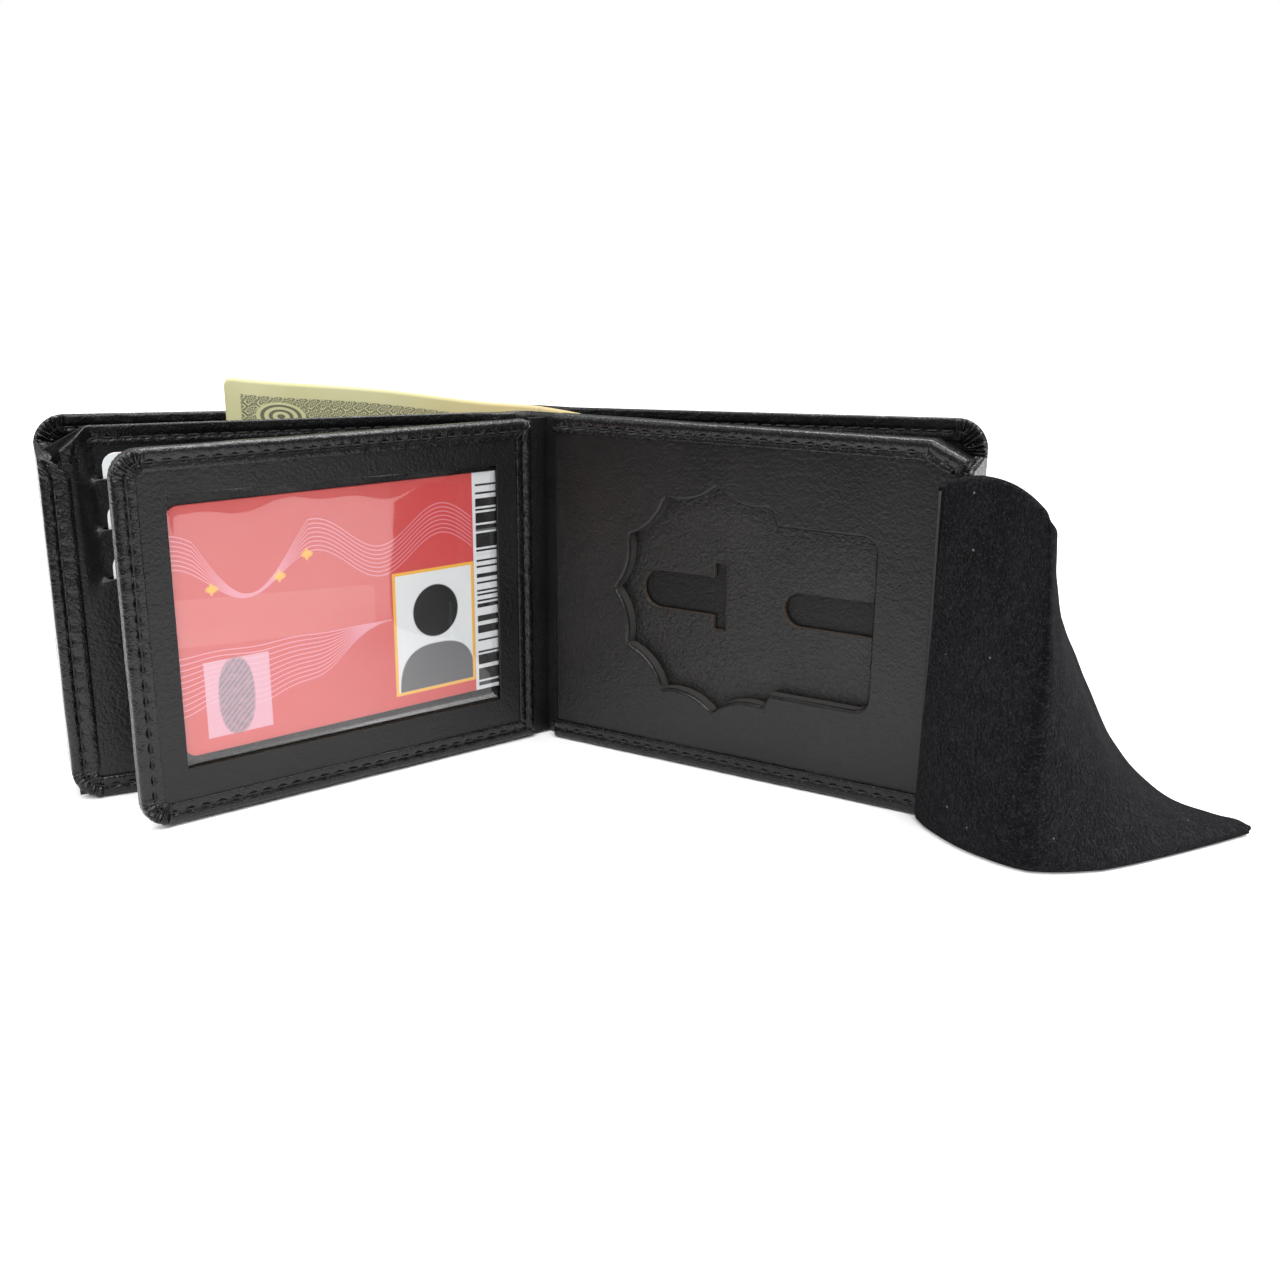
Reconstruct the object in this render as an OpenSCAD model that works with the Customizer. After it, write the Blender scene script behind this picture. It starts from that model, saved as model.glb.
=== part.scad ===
// Bifold wallet for a badge and an identity card, standing open on its bottom edge.
// X runs along the badge half, -Y is the side that the badge panel faces, Z is up.
// The origin is the foot of the fold, at the front face of the badge panel.

/* [Halves] */
// Width of the left half, from the fold to its outer edge
half_w = 115; // [112:0.5:130]
// Width of the badge half, from the fold to its outer edge
badge_half_w = 111.5; // [108:0.5:125]
// Height of the covers at the fold
cover_fold_h = 88.2; // [86:0.2:100]
// Height of the badge half's cover at its outer edge
cover_edge_h = 91.6; // [88:0.2:104]
// Height of the left half's cover at its outer edge
left_edge_h = 89.4; // [88:0.2:100]
// Radius of the outer corners
corner_r = 7; // [4:0.5:10]
// Thickness of the cover leather
cover_t = 1; // [0.8:0.1:1.6]
// Thickness of the cover lining
lining_t = 0.5; // [0.3:0.1:1]
// Depth of the compartment for notes behind the card pockets
bill_gap = 5.2; // [4.8:0.1:8]
// Depth of the compartment for notes behind the badge panel
badge_bill_gap = 3.2; // [2.4:0.1:6]
// Height of the panels that face inwards
panel_h = 87.2; // [84:0.2:90]
// Width of the cut corner at the top of each panel
chamfer_w = 9.5; // [6:0.5:14]
// Height of the cut corner at the top of each panel
chamfer_h = 5; // [4:0.5:9]
// Distance from the fold to the inner end of each panel
panel_in = 2; // [1.5:0.1:4]
// Angle from the badge half to the card leaf
leaf_turn = 109.5; // [100:0.5:125]
// Angle from the card leaf to the left half
left_turn = 12.64; // [11:0.02:20]

/* [Turned edges] */
// Thickness of the leather that wraps the edges
edge_t = 0.8; // [0.6:0.1:1]
// Turned edge shown along the bottom
bottom_hem_w = 5; // [4:0.1:7]
// Turned edge shown along the outer side of the left half
side_hem_w = 6.5; // [5:0.1:9]
// Turned edge shown along the outer side of the badge half, beside the flap
badge_side_hem_w = 3; // [2:0.1:3.2]
// Turned edge shown inside the top of the cover
top_hem_w = 5; // [4:0.1:7]
// Thickness of that top hem
top_hem_t = 0.4; // [0.3:0.1:0.6]
// Binding shown along the top of the badge panel
binding_w = 4.5; // [3.5:0.1:6]
// Thickness of the binding in front of the badge panel
binding_t = 0.5; // [0.3:0.1:0.8]
// Thickness of the binding in front of the left wall
left_binding_t = 0.3; // [0.2:0.05:0.4]

/* [Badge panel] */
// Leather on the face of the badge panel
face_t = 0.9; // [0.6:0.1:1.4]
// Board behind the face, which gives the recess its depth
board_t = 2.9; // [1:0.1:4]
// Leather that closes the back of the recess
backing_t = 1.4; // [0.6:0.1:1.6]
// Leather of the note compartment, which closes the slots from behind
badge_wall_t = 0.4; // [0.3:0.1:0.8]
// Centre of the star recess along the panel
star_x = 49.2; // [46:0.2:54]
// How far the centre of the star recess lies above the middle of the panel
star_rise = 0.3; // [-2:0.1:2]
// Radius of the star at its points
star_tip_r = 28.575; // [26:0.1:30]
// Radius of the star between its points
star_valley_r = 25.7; // [23.5:0.1:25.9]
// Number of points on a full star
star_points = 12; // [10:1:16]
// Overall length of the recess, from the star to its square end
recess_l = 69.85; // [66:0.1:72]
// How far the square end reaches below the star's centre
recess_drop = 21.4; // [18:0.1:24]
// How far the square end reaches above the star's centre
recess_rise = 20.1; // [18:0.1:23]
// Corner radius of the square end
recess_r = 3.5; // [1:0.1:6]

/* [Badge clip slots] */
// Start of the long slot along the panel
slot_start_x = 27.2; // [27:0.1:31]
// Length of the long slot
slot_l = 21; // [18:0.1:24]
// How far the long slot reaches below the star's centre
slot_drop = 4.4; // [2:0.1:6]
// Height of the long slot
slot_h = 9.7; // [6:0.1:10]
// Width of the upright slit at the end of the long slot
slit_w = 3.2; // [2:0.1:4]
// Height of the upright slit
slit_h = 16.8; // [12:0.1:18]
// Start of the second slot along the panel
second_slot_x = 66.7; // [64:0.1:70]
// Length of the second slot
second_slot_l = 26.5; // [20:0.1:30]
// Height of the second slot
second_slot_h = 8.4; // [6:0.1:9]

/* [Card leaf] */
// Place of the leaf's front face at the fold, along the badge half
leaf_x = -2.93; // [-3.2:0.01:-2.6]
// Place of the leaf's front face at the fold, from the badge panel's face
leaf_y = -2.9; // [-3.2:0.01:-2.7]
// Length of the leaf from the fold
leaf_l = 106; // [100:0.5:112]
// Height of the leaf's bottom edge above the table
leaf_foot = 0.4; // [0.3:0.1:1]
// Height of the leaf's top edge above the table, at the fold
leaf_top = 86; // [84:0.2:88]
// Fall of the leaf's top edge towards its outer side
leaf_drop = 1.1; // [0:0.1:2]
// Radius of the leaf's outer corners
leaf_r = 6.5; // [4:0.5:10]
// Leather of the leaf's front and back
leaf_leather_t = 0.8; // [0.6:0.1:1]
// Clear vinyl of the window
vinyl_t = 0.3; // [0.2:0.05:0.5]
// Width of the leather round the window at the sides
window_side_w = 11; // [9:0.1:13]
// Bottom edge of the window
window_low_z = 12.7; // [12:0.1:14]
// Top edge of the window
window_high_z = 74.8; // [73:0.1:78]
// Thickness of the leaf's turned edge at its rim
leaf_edge_t = 0.6; // [0.4:0.1:0.8]
// How far the leaf's turned edge stands proud in front
leaf_lip_t = 0.4; // [0.2:0.1:0.5]
// Turned edge shown round the leaf
leaf_hem_w = 5; // [4:0.1:7]
// Width of the identity card
id_w = 88.9; // [85.6:0.1:90]
// Height of the identity card
id_h = 57.15; // [53.98:0.01:58]
// Tilt of the identity card in its pocket
id_tilt = 0.9; // [0:0.1:1]
// Gap from the outer end of the leaf to the identity card
id_end_gap = 12; // [11.5:0.1:13]
// Height of the identity card's lower outer corner
id_low_z = 14.9; // [14.5:0.1:16]
// Floor of the identity card's pocket
id_floor_z = 12.4; // [12:0.1:12.6]

/* [Card pockets] */
// Width of each pocket card
card_w = 85.6; // [84:0.1:86]
// Height of each pocket card
card_h = 54; // [52:0.1:54]
// Thickness of every card
card_t = 0.76; // [0.5:0.02:0.84]
// Corner radius of every card
card_r = 3.2; // [2:0.1:4]
// Clearance on each face of a card
card_clear = 0.12; // [0.1:0.01:0.2]
// Leather of each card pocket
pocket_t = 0.4; // [0.3:0.1:0.6]
// Leather of the wall behind the pockets
wall_t = 0.6; // [0.4:0.1:1]
// Height of the top slit
top_slit_z = 75.2; // [72:0.1:78]
// Distance from one slit to the next
slit_pitch = 11.4; // [10:0.1:12]
// How far each card shows above its slit
card_show = 5.8; // [4:0.1:8]
// Outer end of the slits along the half
slit_end_x = 103.1; // [102:0.1:104.5]
// Gap from the end of a slit to its card
card_end_gap = 1.6; // [1:0.1:3]

/* [Banknote] */
// Thickness of the note
note_t = 0.2; // [0.1:0.05:0.3]
// Length of the note that lies in the left half
note_left_l = 72.4; // [60:0.2:90]
// Length of the note that lies in the badge half
note_right_l = 66.6; // [40:0.2:80]
// Height of the note itself
note_h = 66.3; // [60:0.1:70]
// Height of the note's upper edge at the fold
note_fold_z = 88.4; // [86:0.1:92]
// Rise of the note towards its left end
note_tilt = 6.6; // [2:0.1:8]

/* [Suede flap] */
// Distance from the outer edge of the half to the flap's seam
flap_in = 7.5; // [7.2:0.1:9]
// Length of the flap from the seam to its free edge
flap_l = 98; // [85:1:110]
// How far below the top of the panel the flap's seam starts
flap_drop = 9.6; // [8:0.2:16]
// Thickness of the suede
flap_t = 1.4; // [1:0.1:1.8]
// Width of the sewn edge of the flap
flap_sewn_w = 4; // [3:0.1:4]
// Thickness of the sewn edge
flap_sewn_t = 0.8; // [0.5:0.1:0.8]
// Height of the hanging flap above the table
flap_foot = 0.4; // [0.3:0.1:1]

/* [Seams] */
// Width of a line of thread
thread_w = 0.7; // [0.4:0.1:1]
// Thickness of a line of thread
thread_t = 0.25; // [0.15:0.05:0.4]
// Distance from an edge to its line of thread
thread_in = 2.9; // [2.4:0.1:3.2]

/* [Hidden] */
// gaps between pieces that bend or move past each other
fold_clear = 0.3;
leaf_clear = 0.44;
// thread beside the top card
left_thread_t = card_clear / 2;
// how far a straight tab runs into the arc that it carries on
tab_lap = 0.05;
cut_over = 1;
$fn = 96;

// depths behind the badge panel's front face
board_d = face_t;
backing_d = board_d + board_t;
badge_wall_d = backing_d + backing_t;
badge_total = badge_wall_d + badge_wall_t;
// depths behind the front of the card pockets
card_room = card_t + 2 * card_clear;
pocket_step = pocket_t + card_room;
pocket_count = 3;
wall_d = pocket_count * pocket_step + left_binding_t;
left_total = wall_d + wall_t;
// depths of each half's lining, and of the cover behind it
badge_lining_d = badge_total + badge_bill_gap;
left_lining_d = left_total + bill_gap;
function cover_d(lining_d) = lining_d + lining_t;
// depths in the card leaf
pocket_d = leaf_leather_t + vinyl_t;
leaf_back_d = pocket_d + card_room;
leaf_t = leaf_back_d + leaf_leather_t;

// left half: its front plane lies behind the leaf's back
left_set = leaf_t + edge_t + leaf_clear;
left_x = leaf_x - left_set * sin(leaf_turn);
left_y = leaf_y - left_set * cos(leaf_turn);
left_angle = leaf_turn + left_turn;
// spine: arcs about one upright line join the two halves
spine_y = left_y;
spine_shift = badge_lining_d - spine_y - left_lining_d;
spine_x = left_x + spine_shift / sin(left_angle);
spine_sweep = 180 - left_angle;
spine_foot = fold_clear;

// badge recess
star_z = panel_h / 2 + star_rise;
recess_low_z = star_z - recess_drop;
recess_high_z = star_z + recess_rise;
slot_low_z = star_z - slot_drop;

// cut corner of the panels
chamfer_l = sqrt(chamfer_w * chamfer_w + chamfer_h * chamfer_h);
hem_top = panel_h - chamfer_h;
hem_lip_top = hem_top - binding_w * chamfer_l / chamfer_w;

// slits of the card pockets
slit_start_x = slit_end_x - card_w - 2 * card_end_gap;

// flap's seam
flap_x = badge_half_w - flap_in;
flap_h = panel_h - flap_drop;
flap_seam_z = max(corner_r, bottom_hem_w + corner_r / 4);
flap_seam_h = min(flap_h, hem_lip_top) - flap_seam_z;

// sizes that the two halves don't share; side is 1 for the badge half, -1 for the left one
function half_end(side) = side > 0 ? badge_half_w : half_w;
function panel_end(side) = half_end(side) - edge_t;
function cover_end_h(side) = side > 0 ? cover_edge_h : left_edge_h;
function side_hem(side) = side > 0 ? badge_side_hem_w : side_hem_w;
function side_thread_in(side) = side > 0 ? (badge_side_hem_w - thread_w) / 2 : thread_in;

// one flat sheet, its front at depth d0 and its back at d1; side is 1 for the badge half, -1 for the others
module sheet(side, d0, d1) {
    far = side > 0 ? d1 : -d0;
    translate([0, far, 0]) rotate([90, 0, 0]) linear_extrude(d1 - d0) children();
}

module in_leaf() {
    translate([leaf_x, leaf_y, 0]) rotate([0, 0, -leaf_turn]) children();
}

module in_left() {
    translate([left_x, left_y, 0]) rotate([0, 0, -left_angle]) children();
}

// outline with a square inner end and two rounded outer corners, its top sloping from z_in to z_out
module outline(x0, x1, z0, z_in, z_out, r_low, r_high) {
    z_turn = z_out - (z_out - z_in) * r_high / (x1 - x0);
    polygon([[x0, z0], [x1 - r_low, z0], [x1 - r_low, z0 + r_low], [x1, z0 + r_low],
        [x1, z_turn - r_high], [x1 - r_high, z_turn - r_high], [x1 - r_high, z_turn], [x0, z_in]]);
    translate([x1 - r_low, z0 + r_low]) circle(r_low);
    if (r_high > 0) translate([x1 - r_high, z_turn - r_high]) circle(r_high);
}

// where the top and the cut corner of a panel lie once drawn in by d
function top_z(d) = panel_h - d;
function chamfer_x(side, d) = panel_end(side) - chamfer_w - d * (chamfer_l - chamfer_w) / chamfer_h;
function chamfer_z(d) = hem_top - d * chamfer_l / chamfer_w;

module panel_outline(side, d = 0) {
    r = corner_r - edge_t;
    x = panel_end(side);
    polygon([[panel_in, edge_t], [x - r, edge_t], [x - r, edge_t + r], [x, edge_t + r],
        [x, chamfer_z(d)], [chamfer_x(side, d), top_z(d)], [panel_in, top_z(d)]]);
    translate([x - r, edge_t + r]) circle(r);
}

// strip along the top and the cut corner of a panel, from d0 to d1 below its edge
module top_band(side, d0, d1) {
    polygon([[panel_in, top_z(d0)], [chamfer_x(side, d0), top_z(d0)], [panel_end(side), chamfer_z(d0)],
        [panel_end(side), chamfer_z(d1)], [chamfer_x(side, d1), top_z(d1)], [panel_in, top_z(d1)]]);
}

// strip along the bottom and the outer side of a half
module hem_band(side, a_low, a_side, b_low, b_side, top) {
    x = half_end(side);
    r_in = max(corner_r - max(b_low, b_side), corner_r / 4);
    difference() {
        outline(panel_in, x - a_side, a_low, top, top, corner_r - a_low, 0);
        outline(panel_in - cut_over, x - b_side, b_low, top + cut_over, top + cut_over, r_in, 0);
    }
}

// closed strip round the leaf
module leaf_outline(d, x0 = 0) {
    r = max(leaf_r - d, leaf_r / 4);
    outline(x0, leaf_l - d, leaf_foot + d, leaf_top - d, leaf_top - leaf_drop - d, r, r);
}

module leaf_window_hole(grow = 0) {
    translate([window_side_w - grow, window_low_z - grow])
        square([leaf_l - 2 * window_side_w + 2 * grow, window_high_z - window_low_z + 2 * grow]);
}

module rounded_card(w, h) {
    for (x = [card_r, w - card_r], z = [card_r, h - card_r]) translate([x, z]) circle(card_r);
    translate([card_r, 0]) square([w - 2 * card_r, h]);
    translate([0, card_r]) square([w, h - 2 * card_r]);
}

// pieces of one half that both halves share, with its lining at the given depth
module half_cover(side, lining_d) {
    sheet(side, cover_d(lining_d), cover_d(lining_d) + cover_t)
        outline(2 * fold_clear, half_end(side), 0, cover_fold_h, cover_end_h(side), corner_r, corner_r);
}

module half_lining(side, lining_d) {
    sheet(side, lining_d, cover_d(lining_d))
        outline(2 * fold_clear, panel_end(side), edge_t, cover_fold_h - edge_t, cover_end_h(side) - edge_t,
            corner_r - edge_t, corner_r - edge_t);
}

module half_turned_edge(side, lining_d) {
    sheet(side, 0, cover_d(lining_d)) hem_band(side, 0, 0, edge_t, edge_t, hem_top);
    sheet(side, -edge_t, 0) hem_band(side, 0, 0, bottom_hem_w, side_hem(side), hem_lip_top);
    sheet(side, lining_d - top_hem_t, lining_d) difference() {
        outline(panel_in, panel_end(side), cover_fold_h - top_hem_w - corner_r, cover_fold_h - edge_t,
            cover_end_h(side) - edge_t, edge_t, corner_r - edge_t);
        translate([panel_in - cut_over, 0])
            square([half_end(side) - side_hem(side) - panel_in + cut_over, cover_fold_h - top_hem_w]);
    }
}

module hem_thread(side) {
    from = side_thread_in(side);
    sheet(side, -edge_t - thread_t, -edge_t)
        hem_band(side, thread_in, from, thread_in + thread_w, from + thread_w, hem_lip_top);
}

// upright arc sheet between two radii about the spine's own line, with a tab on each half
module spine_arc(r0, r1, height, tab_right, tab_left) {
    translate([spine_x, spine_y, spine_foot]) rotate([0, 0, 90])
        rotate_extrude(angle = spine_sweep) translate([r0, 0]) square([r1 - r0, height]);
    translate([spine_x, spine_y + r0, spine_foot]) cube([tab_right - spine_x, r1 - r0, height]);
    in_left() translate([0, -(r1 - spine_shift), spine_foot]) {
        from = (spine_x - left_x) * cos(left_angle) - tab_lap;
        translate([from, 0, 0]) cube([tab_left - from, r1 - r0, height]);
    }
}

// Spine

module spine_cover() {
    r0 = cover_d(badge_lining_d) - spine_y;
    color("#242428") spine_arc(r0, r0 + cover_t, cover_fold_h - spine_foot, fold_clear, fold_clear);
}

module spine_lining() {
    r0 = badge_lining_d - spine_y;
    color("#2c2c30")
        spine_arc(r0, r0 + lining_t, cover_fold_h - edge_t - spine_foot, fold_clear, fold_clear);
}

inner_strip_t = face_t;
inner_strip_d = left_total + spine_shift + spine_y - inner_strip_t;
module inner_spine_strip() {
    r0 = inner_strip_d - spine_y;
    color("#202024")
        spine_arc(r0, r0 + inner_strip_t, panel_h - spine_foot, panel_in - fold_clear, panel_in - fold_clear);
}

module leaf_hinge_strip() {
    reach = badge_total - leaf_y + leaf_t;
    color("#26262a") difference() {
        in_leaf() sheet(-1, pocket_d, leaf_back_d)
            translate([-reach, leaf_foot]) square([reach, leaf_top - leaf_foot]);
        translate([spine_x - cut_over, inner_strip_d, -cut_over])
            cube([half_w, half_w, cover_edge_h]);
    }
}

// Card leaf

module leaf_front_frame() {
    color("#2a2a2d") in_leaf() sheet(-1, 0, leaf_leather_t) difference() {
        leaf_outline(leaf_edge_t);
        leaf_window_hole();
    }
}

window_lap = 3.5;
module leaf_window() {
    color("#c8d0d4", 0.35) in_leaf() sheet(-1, leaf_leather_t, pocket_d) leaf_window_hole(window_lap);
}

module leaf_pocket_spacer() {
    room_end = leaf_l - id_end_gap + window_lap / 2;
    color("#202022") in_leaf() {
        sheet(-1, pocket_d, leaf_back_d) difference() {
            leaf_outline(leaf_edge_t);
            translate([room_end - id_w - window_lap, id_floor_z])
                square([id_w + window_lap, leaf_top]);
        }
        sheet(-1, leaf_leather_t, pocket_d) difference() {
            leaf_outline(leaf_edge_t);
            leaf_window_hole(window_lap);
        }
    }
}

module leaf_back() {
    color("#2a2a2d") in_leaf() sheet(-1, leaf_back_d, leaf_t) leaf_outline(leaf_edge_t);
}

module leaf_turned_edge() {
    far = leaf_l - leaf_r;
    far_top = leaf_top - leaf_drop * far / leaf_l;
    far_low = leaf_top - leaf_edge_t - leaf_drop * far / (leaf_l - leaf_edge_t);
    color("#242427") in_leaf() {
        sheet(-1, 0, leaf_t) difference() {
            outline(0, leaf_l, leaf_foot, leaf_top - leaf_edge_t, leaf_top - leaf_drop - leaf_edge_t,
                leaf_r, leaf_r);
            outline(-cut_over, leaf_l - leaf_edge_t, leaf_foot + leaf_edge_t, leaf_top + cut_over,
                leaf_top + cut_over, leaf_r - leaf_edge_t, 0);
        }
        sheet(-1, -leaf_lip_t, 0) difference() {
            leaf_outline(0);
            leaf_outline(leaf_hem_w, leaf_hem_w);
        }
        sheet(-1, 0, leaf_leather_t)
            polygon([[0, leaf_top - leaf_edge_t], [far, far_low], [far, far_top], [0, leaf_top]]);
    }
}

module leaf_seam_thread() {
    color("#101012") in_leaf() sheet(-1, -leaf_lip_t - thread_t, -leaf_lip_t) difference() {
        leaf_outline(thread_in, thread_in);
        leaf_outline(thread_in + thread_w, thread_in + thread_w);
    }
}

module id_card() {
    color("#df4a44") in_leaf() sheet(-1, pocket_d + card_clear, pocket_d + card_clear + card_t)
        translate([leaf_l - id_end_gap, id_low_z]) rotate(-id_tilt) translate([-id_w, 0])
            rounded_card(id_w, id_h);
}

// Left half

module left_cover() {
    color("#242428") in_left() half_cover(-1, left_lining_d);
}

module left_cover_lining() {
    color("#2c2c30") in_left() half_lining(-1, left_lining_d);
}

module left_turned_edge() {
    color("#29292c") in_left() half_turned_edge(-1, left_lining_d);
}

module left_inner_wall() {
    color("#2a2a2d") in_left() sheet(-1, wall_d, left_total) panel_outline(-1, left_binding_t);
}

module left_top_binding() {
    color("#252528") in_left() {
        sheet(-1, wall_d, left_total) top_band(-1, 0, left_binding_t);
        sheet(-1, wall_d - left_binding_t, wall_d) intersection() {
            top_band(-1, 0, binding_w);
            translate([slit_start_x, 0]) square([slit_end_x - slit_start_x, panel_h]);
        }
    }
}

// slits count from the bottom, 0 to 2
function slit_z(i) = top_slit_z - (pocket_count - 1 - i) * slit_pitch;
function card_z(i) = slit_z(i) + card_show - card_h;

// pocket i: a leather front, open at its slit, with the room for a card behind it
module card_pocket(i) {
    front = i * pocket_step;
    back = i == pocket_count - 1 ? wall_d : front + pocket_step;
    width = slit_end_x - slit_start_x;
    color("#2b2b2e") in_left() difference() {
        sheet(-1, front, back) panel_outline(-1);
        sheet(-1, front - cut_over, back + cut_over)
            translate([slit_start_x, slit_z(i)]) square([width, panel_h]);
        sheet(-1, front + pocket_t, back + cut_over)
            translate([slit_start_x, card_z(i) - card_clear]) square([width, panel_h]);
    }
}

module pocket_card(i) {
    front = i * pocket_step + pocket_t + card_clear;
    color("#e6e8ea") in_left() sheet(-1, front, front + card_t)
        translate([slit_start_x + card_end_gap, card_z(i)]) rounded_card(card_w, card_h);
}

module card_pocket_top() { card_pocket(2); }
module card_pocket_middle() { card_pocket(1); }
module card_pocket_bottom() { card_pocket(0); }
module card_top() { pocket_card(2); }
module card_middle() { pocket_card(1); }
module card_bottom() { pocket_card(0); }

module left_seam_thread() {
    color("#101012") in_left() {
        hem_thread(-1);
        sheet(-1, wall_d - left_binding_t - left_thread_t, wall_d - left_binding_t) intersection() {
            top_band(-1, thread_in, thread_in + thread_w);
            translate([slit_start_x, 0]) square([slit_end_x - slit_start_x, panel_h]);
        }
    }
}

// Banknote, one sheet across the fold
module banknote() {
    back = badge_lining_d - top_hem_t - card_clear;
    r0 = back - note_t - spine_y;
    rise = tan(note_tilt);
    in_left_d = r0 - spine_shift;
    color("#b9b58c") {
        translate([spine_x, spine_y, note_fold_z - note_h]) rotate([0, 0, 90])
            rotate_extrude(angle = spine_sweep) translate([r0, 0]) square([note_t, note_h]);
        sheet(1, back - note_t, back) polygon([[spine_x, note_fold_z], [spine_x, note_fold_z - note_h],
            [note_right_l, note_fold_z - note_h - note_right_l * rise],
            [note_right_l, note_fold_z - note_right_l * rise]]);
        in_left() sheet(-1, in_left_d, in_left_d + note_t) {
            from = (spine_x - left_x) * cos(left_angle) - tab_lap;
            polygon([[from, note_fold_z], [from, note_fold_z - note_h],
                [note_left_l, note_fold_z - note_h + note_left_l * rise],
                [note_left_l, note_fold_z + note_left_l * rise]]);
        }
    }
}

// Badge half

module right_cover() {
    color("#242428") half_cover(1, badge_lining_d);
}

module right_cover_lining() {
    color("#2c2c30") half_lining(1, badge_lining_d);
}

module right_turned_edge() {
    color("#29292c") half_turned_edge(1, badge_lining_d);
}

// star with hollow sides, which meet at its points
module star() {
    half = 180 / star_points;
    chord = star_tip_r * sin(half);
    sag = star_tip_r * cos(half) - star_valley_r;
    hollow_r = (chord * chord + sag * sag) / (2 * sag);
    difference() {
        circle(star_tip_r + cut_over);
        for (i = [0:star_points - 1]) rotate((i + 0.5) * 2 * half)
            translate([star_valley_r + hollow_r, 0]) circle(hollow_r);
    }
}

module badge_recess() {
    end_x = star_x - star_tip_r + recess_l;
    translate([star_x, star_z]) star();
    outline(star_x, end_x, recess_low_z, recess_high_z, recess_high_z, recess_r, recess_r);
}

module badge_face() {
    color("#2b2b2d") sheet(1, 0, board_d) difference() {
        panel_outline(1, binding_t);
        badge_recess();
    }
}

module badge_board() {
    color("#17171a") sheet(1, board_d, backing_d) difference() {
        panel_outline(1, binding_t);
        badge_recess();
    }
}

// slot with one round end
module round_slot(x, z, l, h) {
    translate([x + h / 2, z + h / 2]) circle(h / 2);
    translate([x + h / 2, z]) square([l - h / 2, h]);
}

module badge_backing() {
    color("#232326") sheet(1, backing_d, badge_wall_d) difference() {
        panel_outline(1, binding_t);
        round_slot(slot_start_x, slot_low_z, slot_l, slot_h);
        translate([slot_start_x + slot_l - thread_w, slot_low_z + slot_h / 2 - slit_h / 2])
            square([slit_w, slit_h]);
        round_slot(second_slot_x, star_z - second_slot_h / 2, second_slot_l, second_slot_h);
    }
}

module badge_inner_wall() {
    color("#2c2c30") sheet(1, badge_wall_d, badge_total) panel_outline(1, binding_t);
}

module badge_top_binding() {
    color("#252528") {
        sheet(1, 0, badge_total) top_band(1, 0, binding_t);
        sheet(1, -binding_t, 0) top_band(1, 0, binding_w);
    }
}

module right_seam_thread() {
    color("#101012") {
        hem_thread(1);
        sheet(1, -binding_t - thread_t, -binding_t) top_band(1, thread_in, thread_in + thread_w);
    }
}

// Suede flap

module flap_sewn_edge() {
    color("#1a1b20") sheet(1, -flap_sewn_t, 0) translate([flap_x, flap_seam_z])
        square([flap_sewn_w, flap_seam_h]);
}

module flap_seam_thread() {
    color("#101012") sheet(1, -flap_sewn_t - thread_t, -flap_sewn_t)
        translate([flap_x + thread_w / 2, flap_seam_z + thread_w])
            square([thread_w, flap_seam_h - 2 * thread_w]);
}

// the hanging sheet: rows from the table up, each from the seam to the free edge,
// as shares of the flap's length along X and Y and of its height along Z
flap_row_shares = [
    [[0.003, -0.03, 0], [0.061, -0.09, 0], [0.163, -0.155, 0], [0.289, -0.188, 0],
        [0.362, -0.161, 0], [0.466, -0.04, 0], [0.577, 0.127, 0], [0.685, 0.308, 0]],
    [[0.003, -0.03, 0.25], [0.066, -0.082, 0.25], [0.168, -0.143, 0.25], [0.296, -0.182, 0.25],
        [0.352, -0.138, 0.24], [0.418, -0.01, 0.2], [0.469, 0.128, 0.14], [0.51, 0.258, 0.09]],
    [[0.003, -0.03, 0.5], [0.071, -0.066, 0.505], [0.179, -0.126, 0.505], [0.299, -0.171, 0.49],
        [0.332, -0.117, 0.48], [0.352, 0, 0.42], [0.362, 0.133, 0.337], [0.372, 0.254, 0.255]],
    [[0.003, -0.03, 0.75], [0.082, -0.046, 0.77], [0.189, -0.1, 0.77], [0.298, -0.161, 0.73],
        [0.306, -0.107, 0.705], [0.291, 0.026, 0.628], [0.276, 0.173, 0.537], [0.27, 0.31, 0.46]],
    [[0.003, -0.03, 0.995], [0.097, -0.028, 1.035], [0.194, -0.069, 1.027], [0.284, -0.152, 0.957],
        [0.276, -0.092, 0.918], [0.24, 0.031, 0.834], [0.199, 0.194, 0.73], [0.173, 0.367, 0.64]]
];
flap_rows = len(flap_row_shares);
flap_cols = len(flap_row_shares[0]);
flap_steps = 4;

function clamp_to(i, n) = max(0, min(n - 1, i));
function smooth(a, b, c, d, t) =
    b + 0.5 * t * ((c - a) + t * ((2 * a - 5 * b + 4 * c - d) + t * (3 * (b - c) + d - a)));
function share_at(row, v) = let (i = min(floor(v), flap_cols - 2), t = v - i, n = flap_cols)
    smooth(row[clamp_to(i - 1, n)], row[i], row[i + 1], row[clamp_to(i + 2, n)], t);
function flap_share(u, v) = let (i = min(floor(u), flap_rows - 2), t = u - i, n = flap_rows, r = flap_row_shares)
    smooth(share_at(r[clamp_to(i - 1, n)], v), share_at(r[i], v), share_at(r[i + 1], v),
        share_at(r[clamp_to(i + 2, n)], v), t);
function flap_point(u, v) = let (s = flap_share(u, v))
    [flap_x + s[0] * flap_l, s[1] * flap_l, flap_foot + s[2] * (flap_h - flap_foot)];
function unit(p) = p / norm(p);
// thickness direction, level along the bottom edge
flap_probe_share = 0.02;
function flap_back(u, v) = let (e = flap_probe_share,
    across = flap_point(u, min(v + e, flap_cols - 1)) - flap_point(u, max(v - e, 0)),
    up = flap_point(min(u + e, flap_rows - 1), v) - flap_point(max(u - e, 0), v),
    n = cross(up, across))
    unit([n[0], n[1], u == 0 ? 0 : n[2]]);

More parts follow.
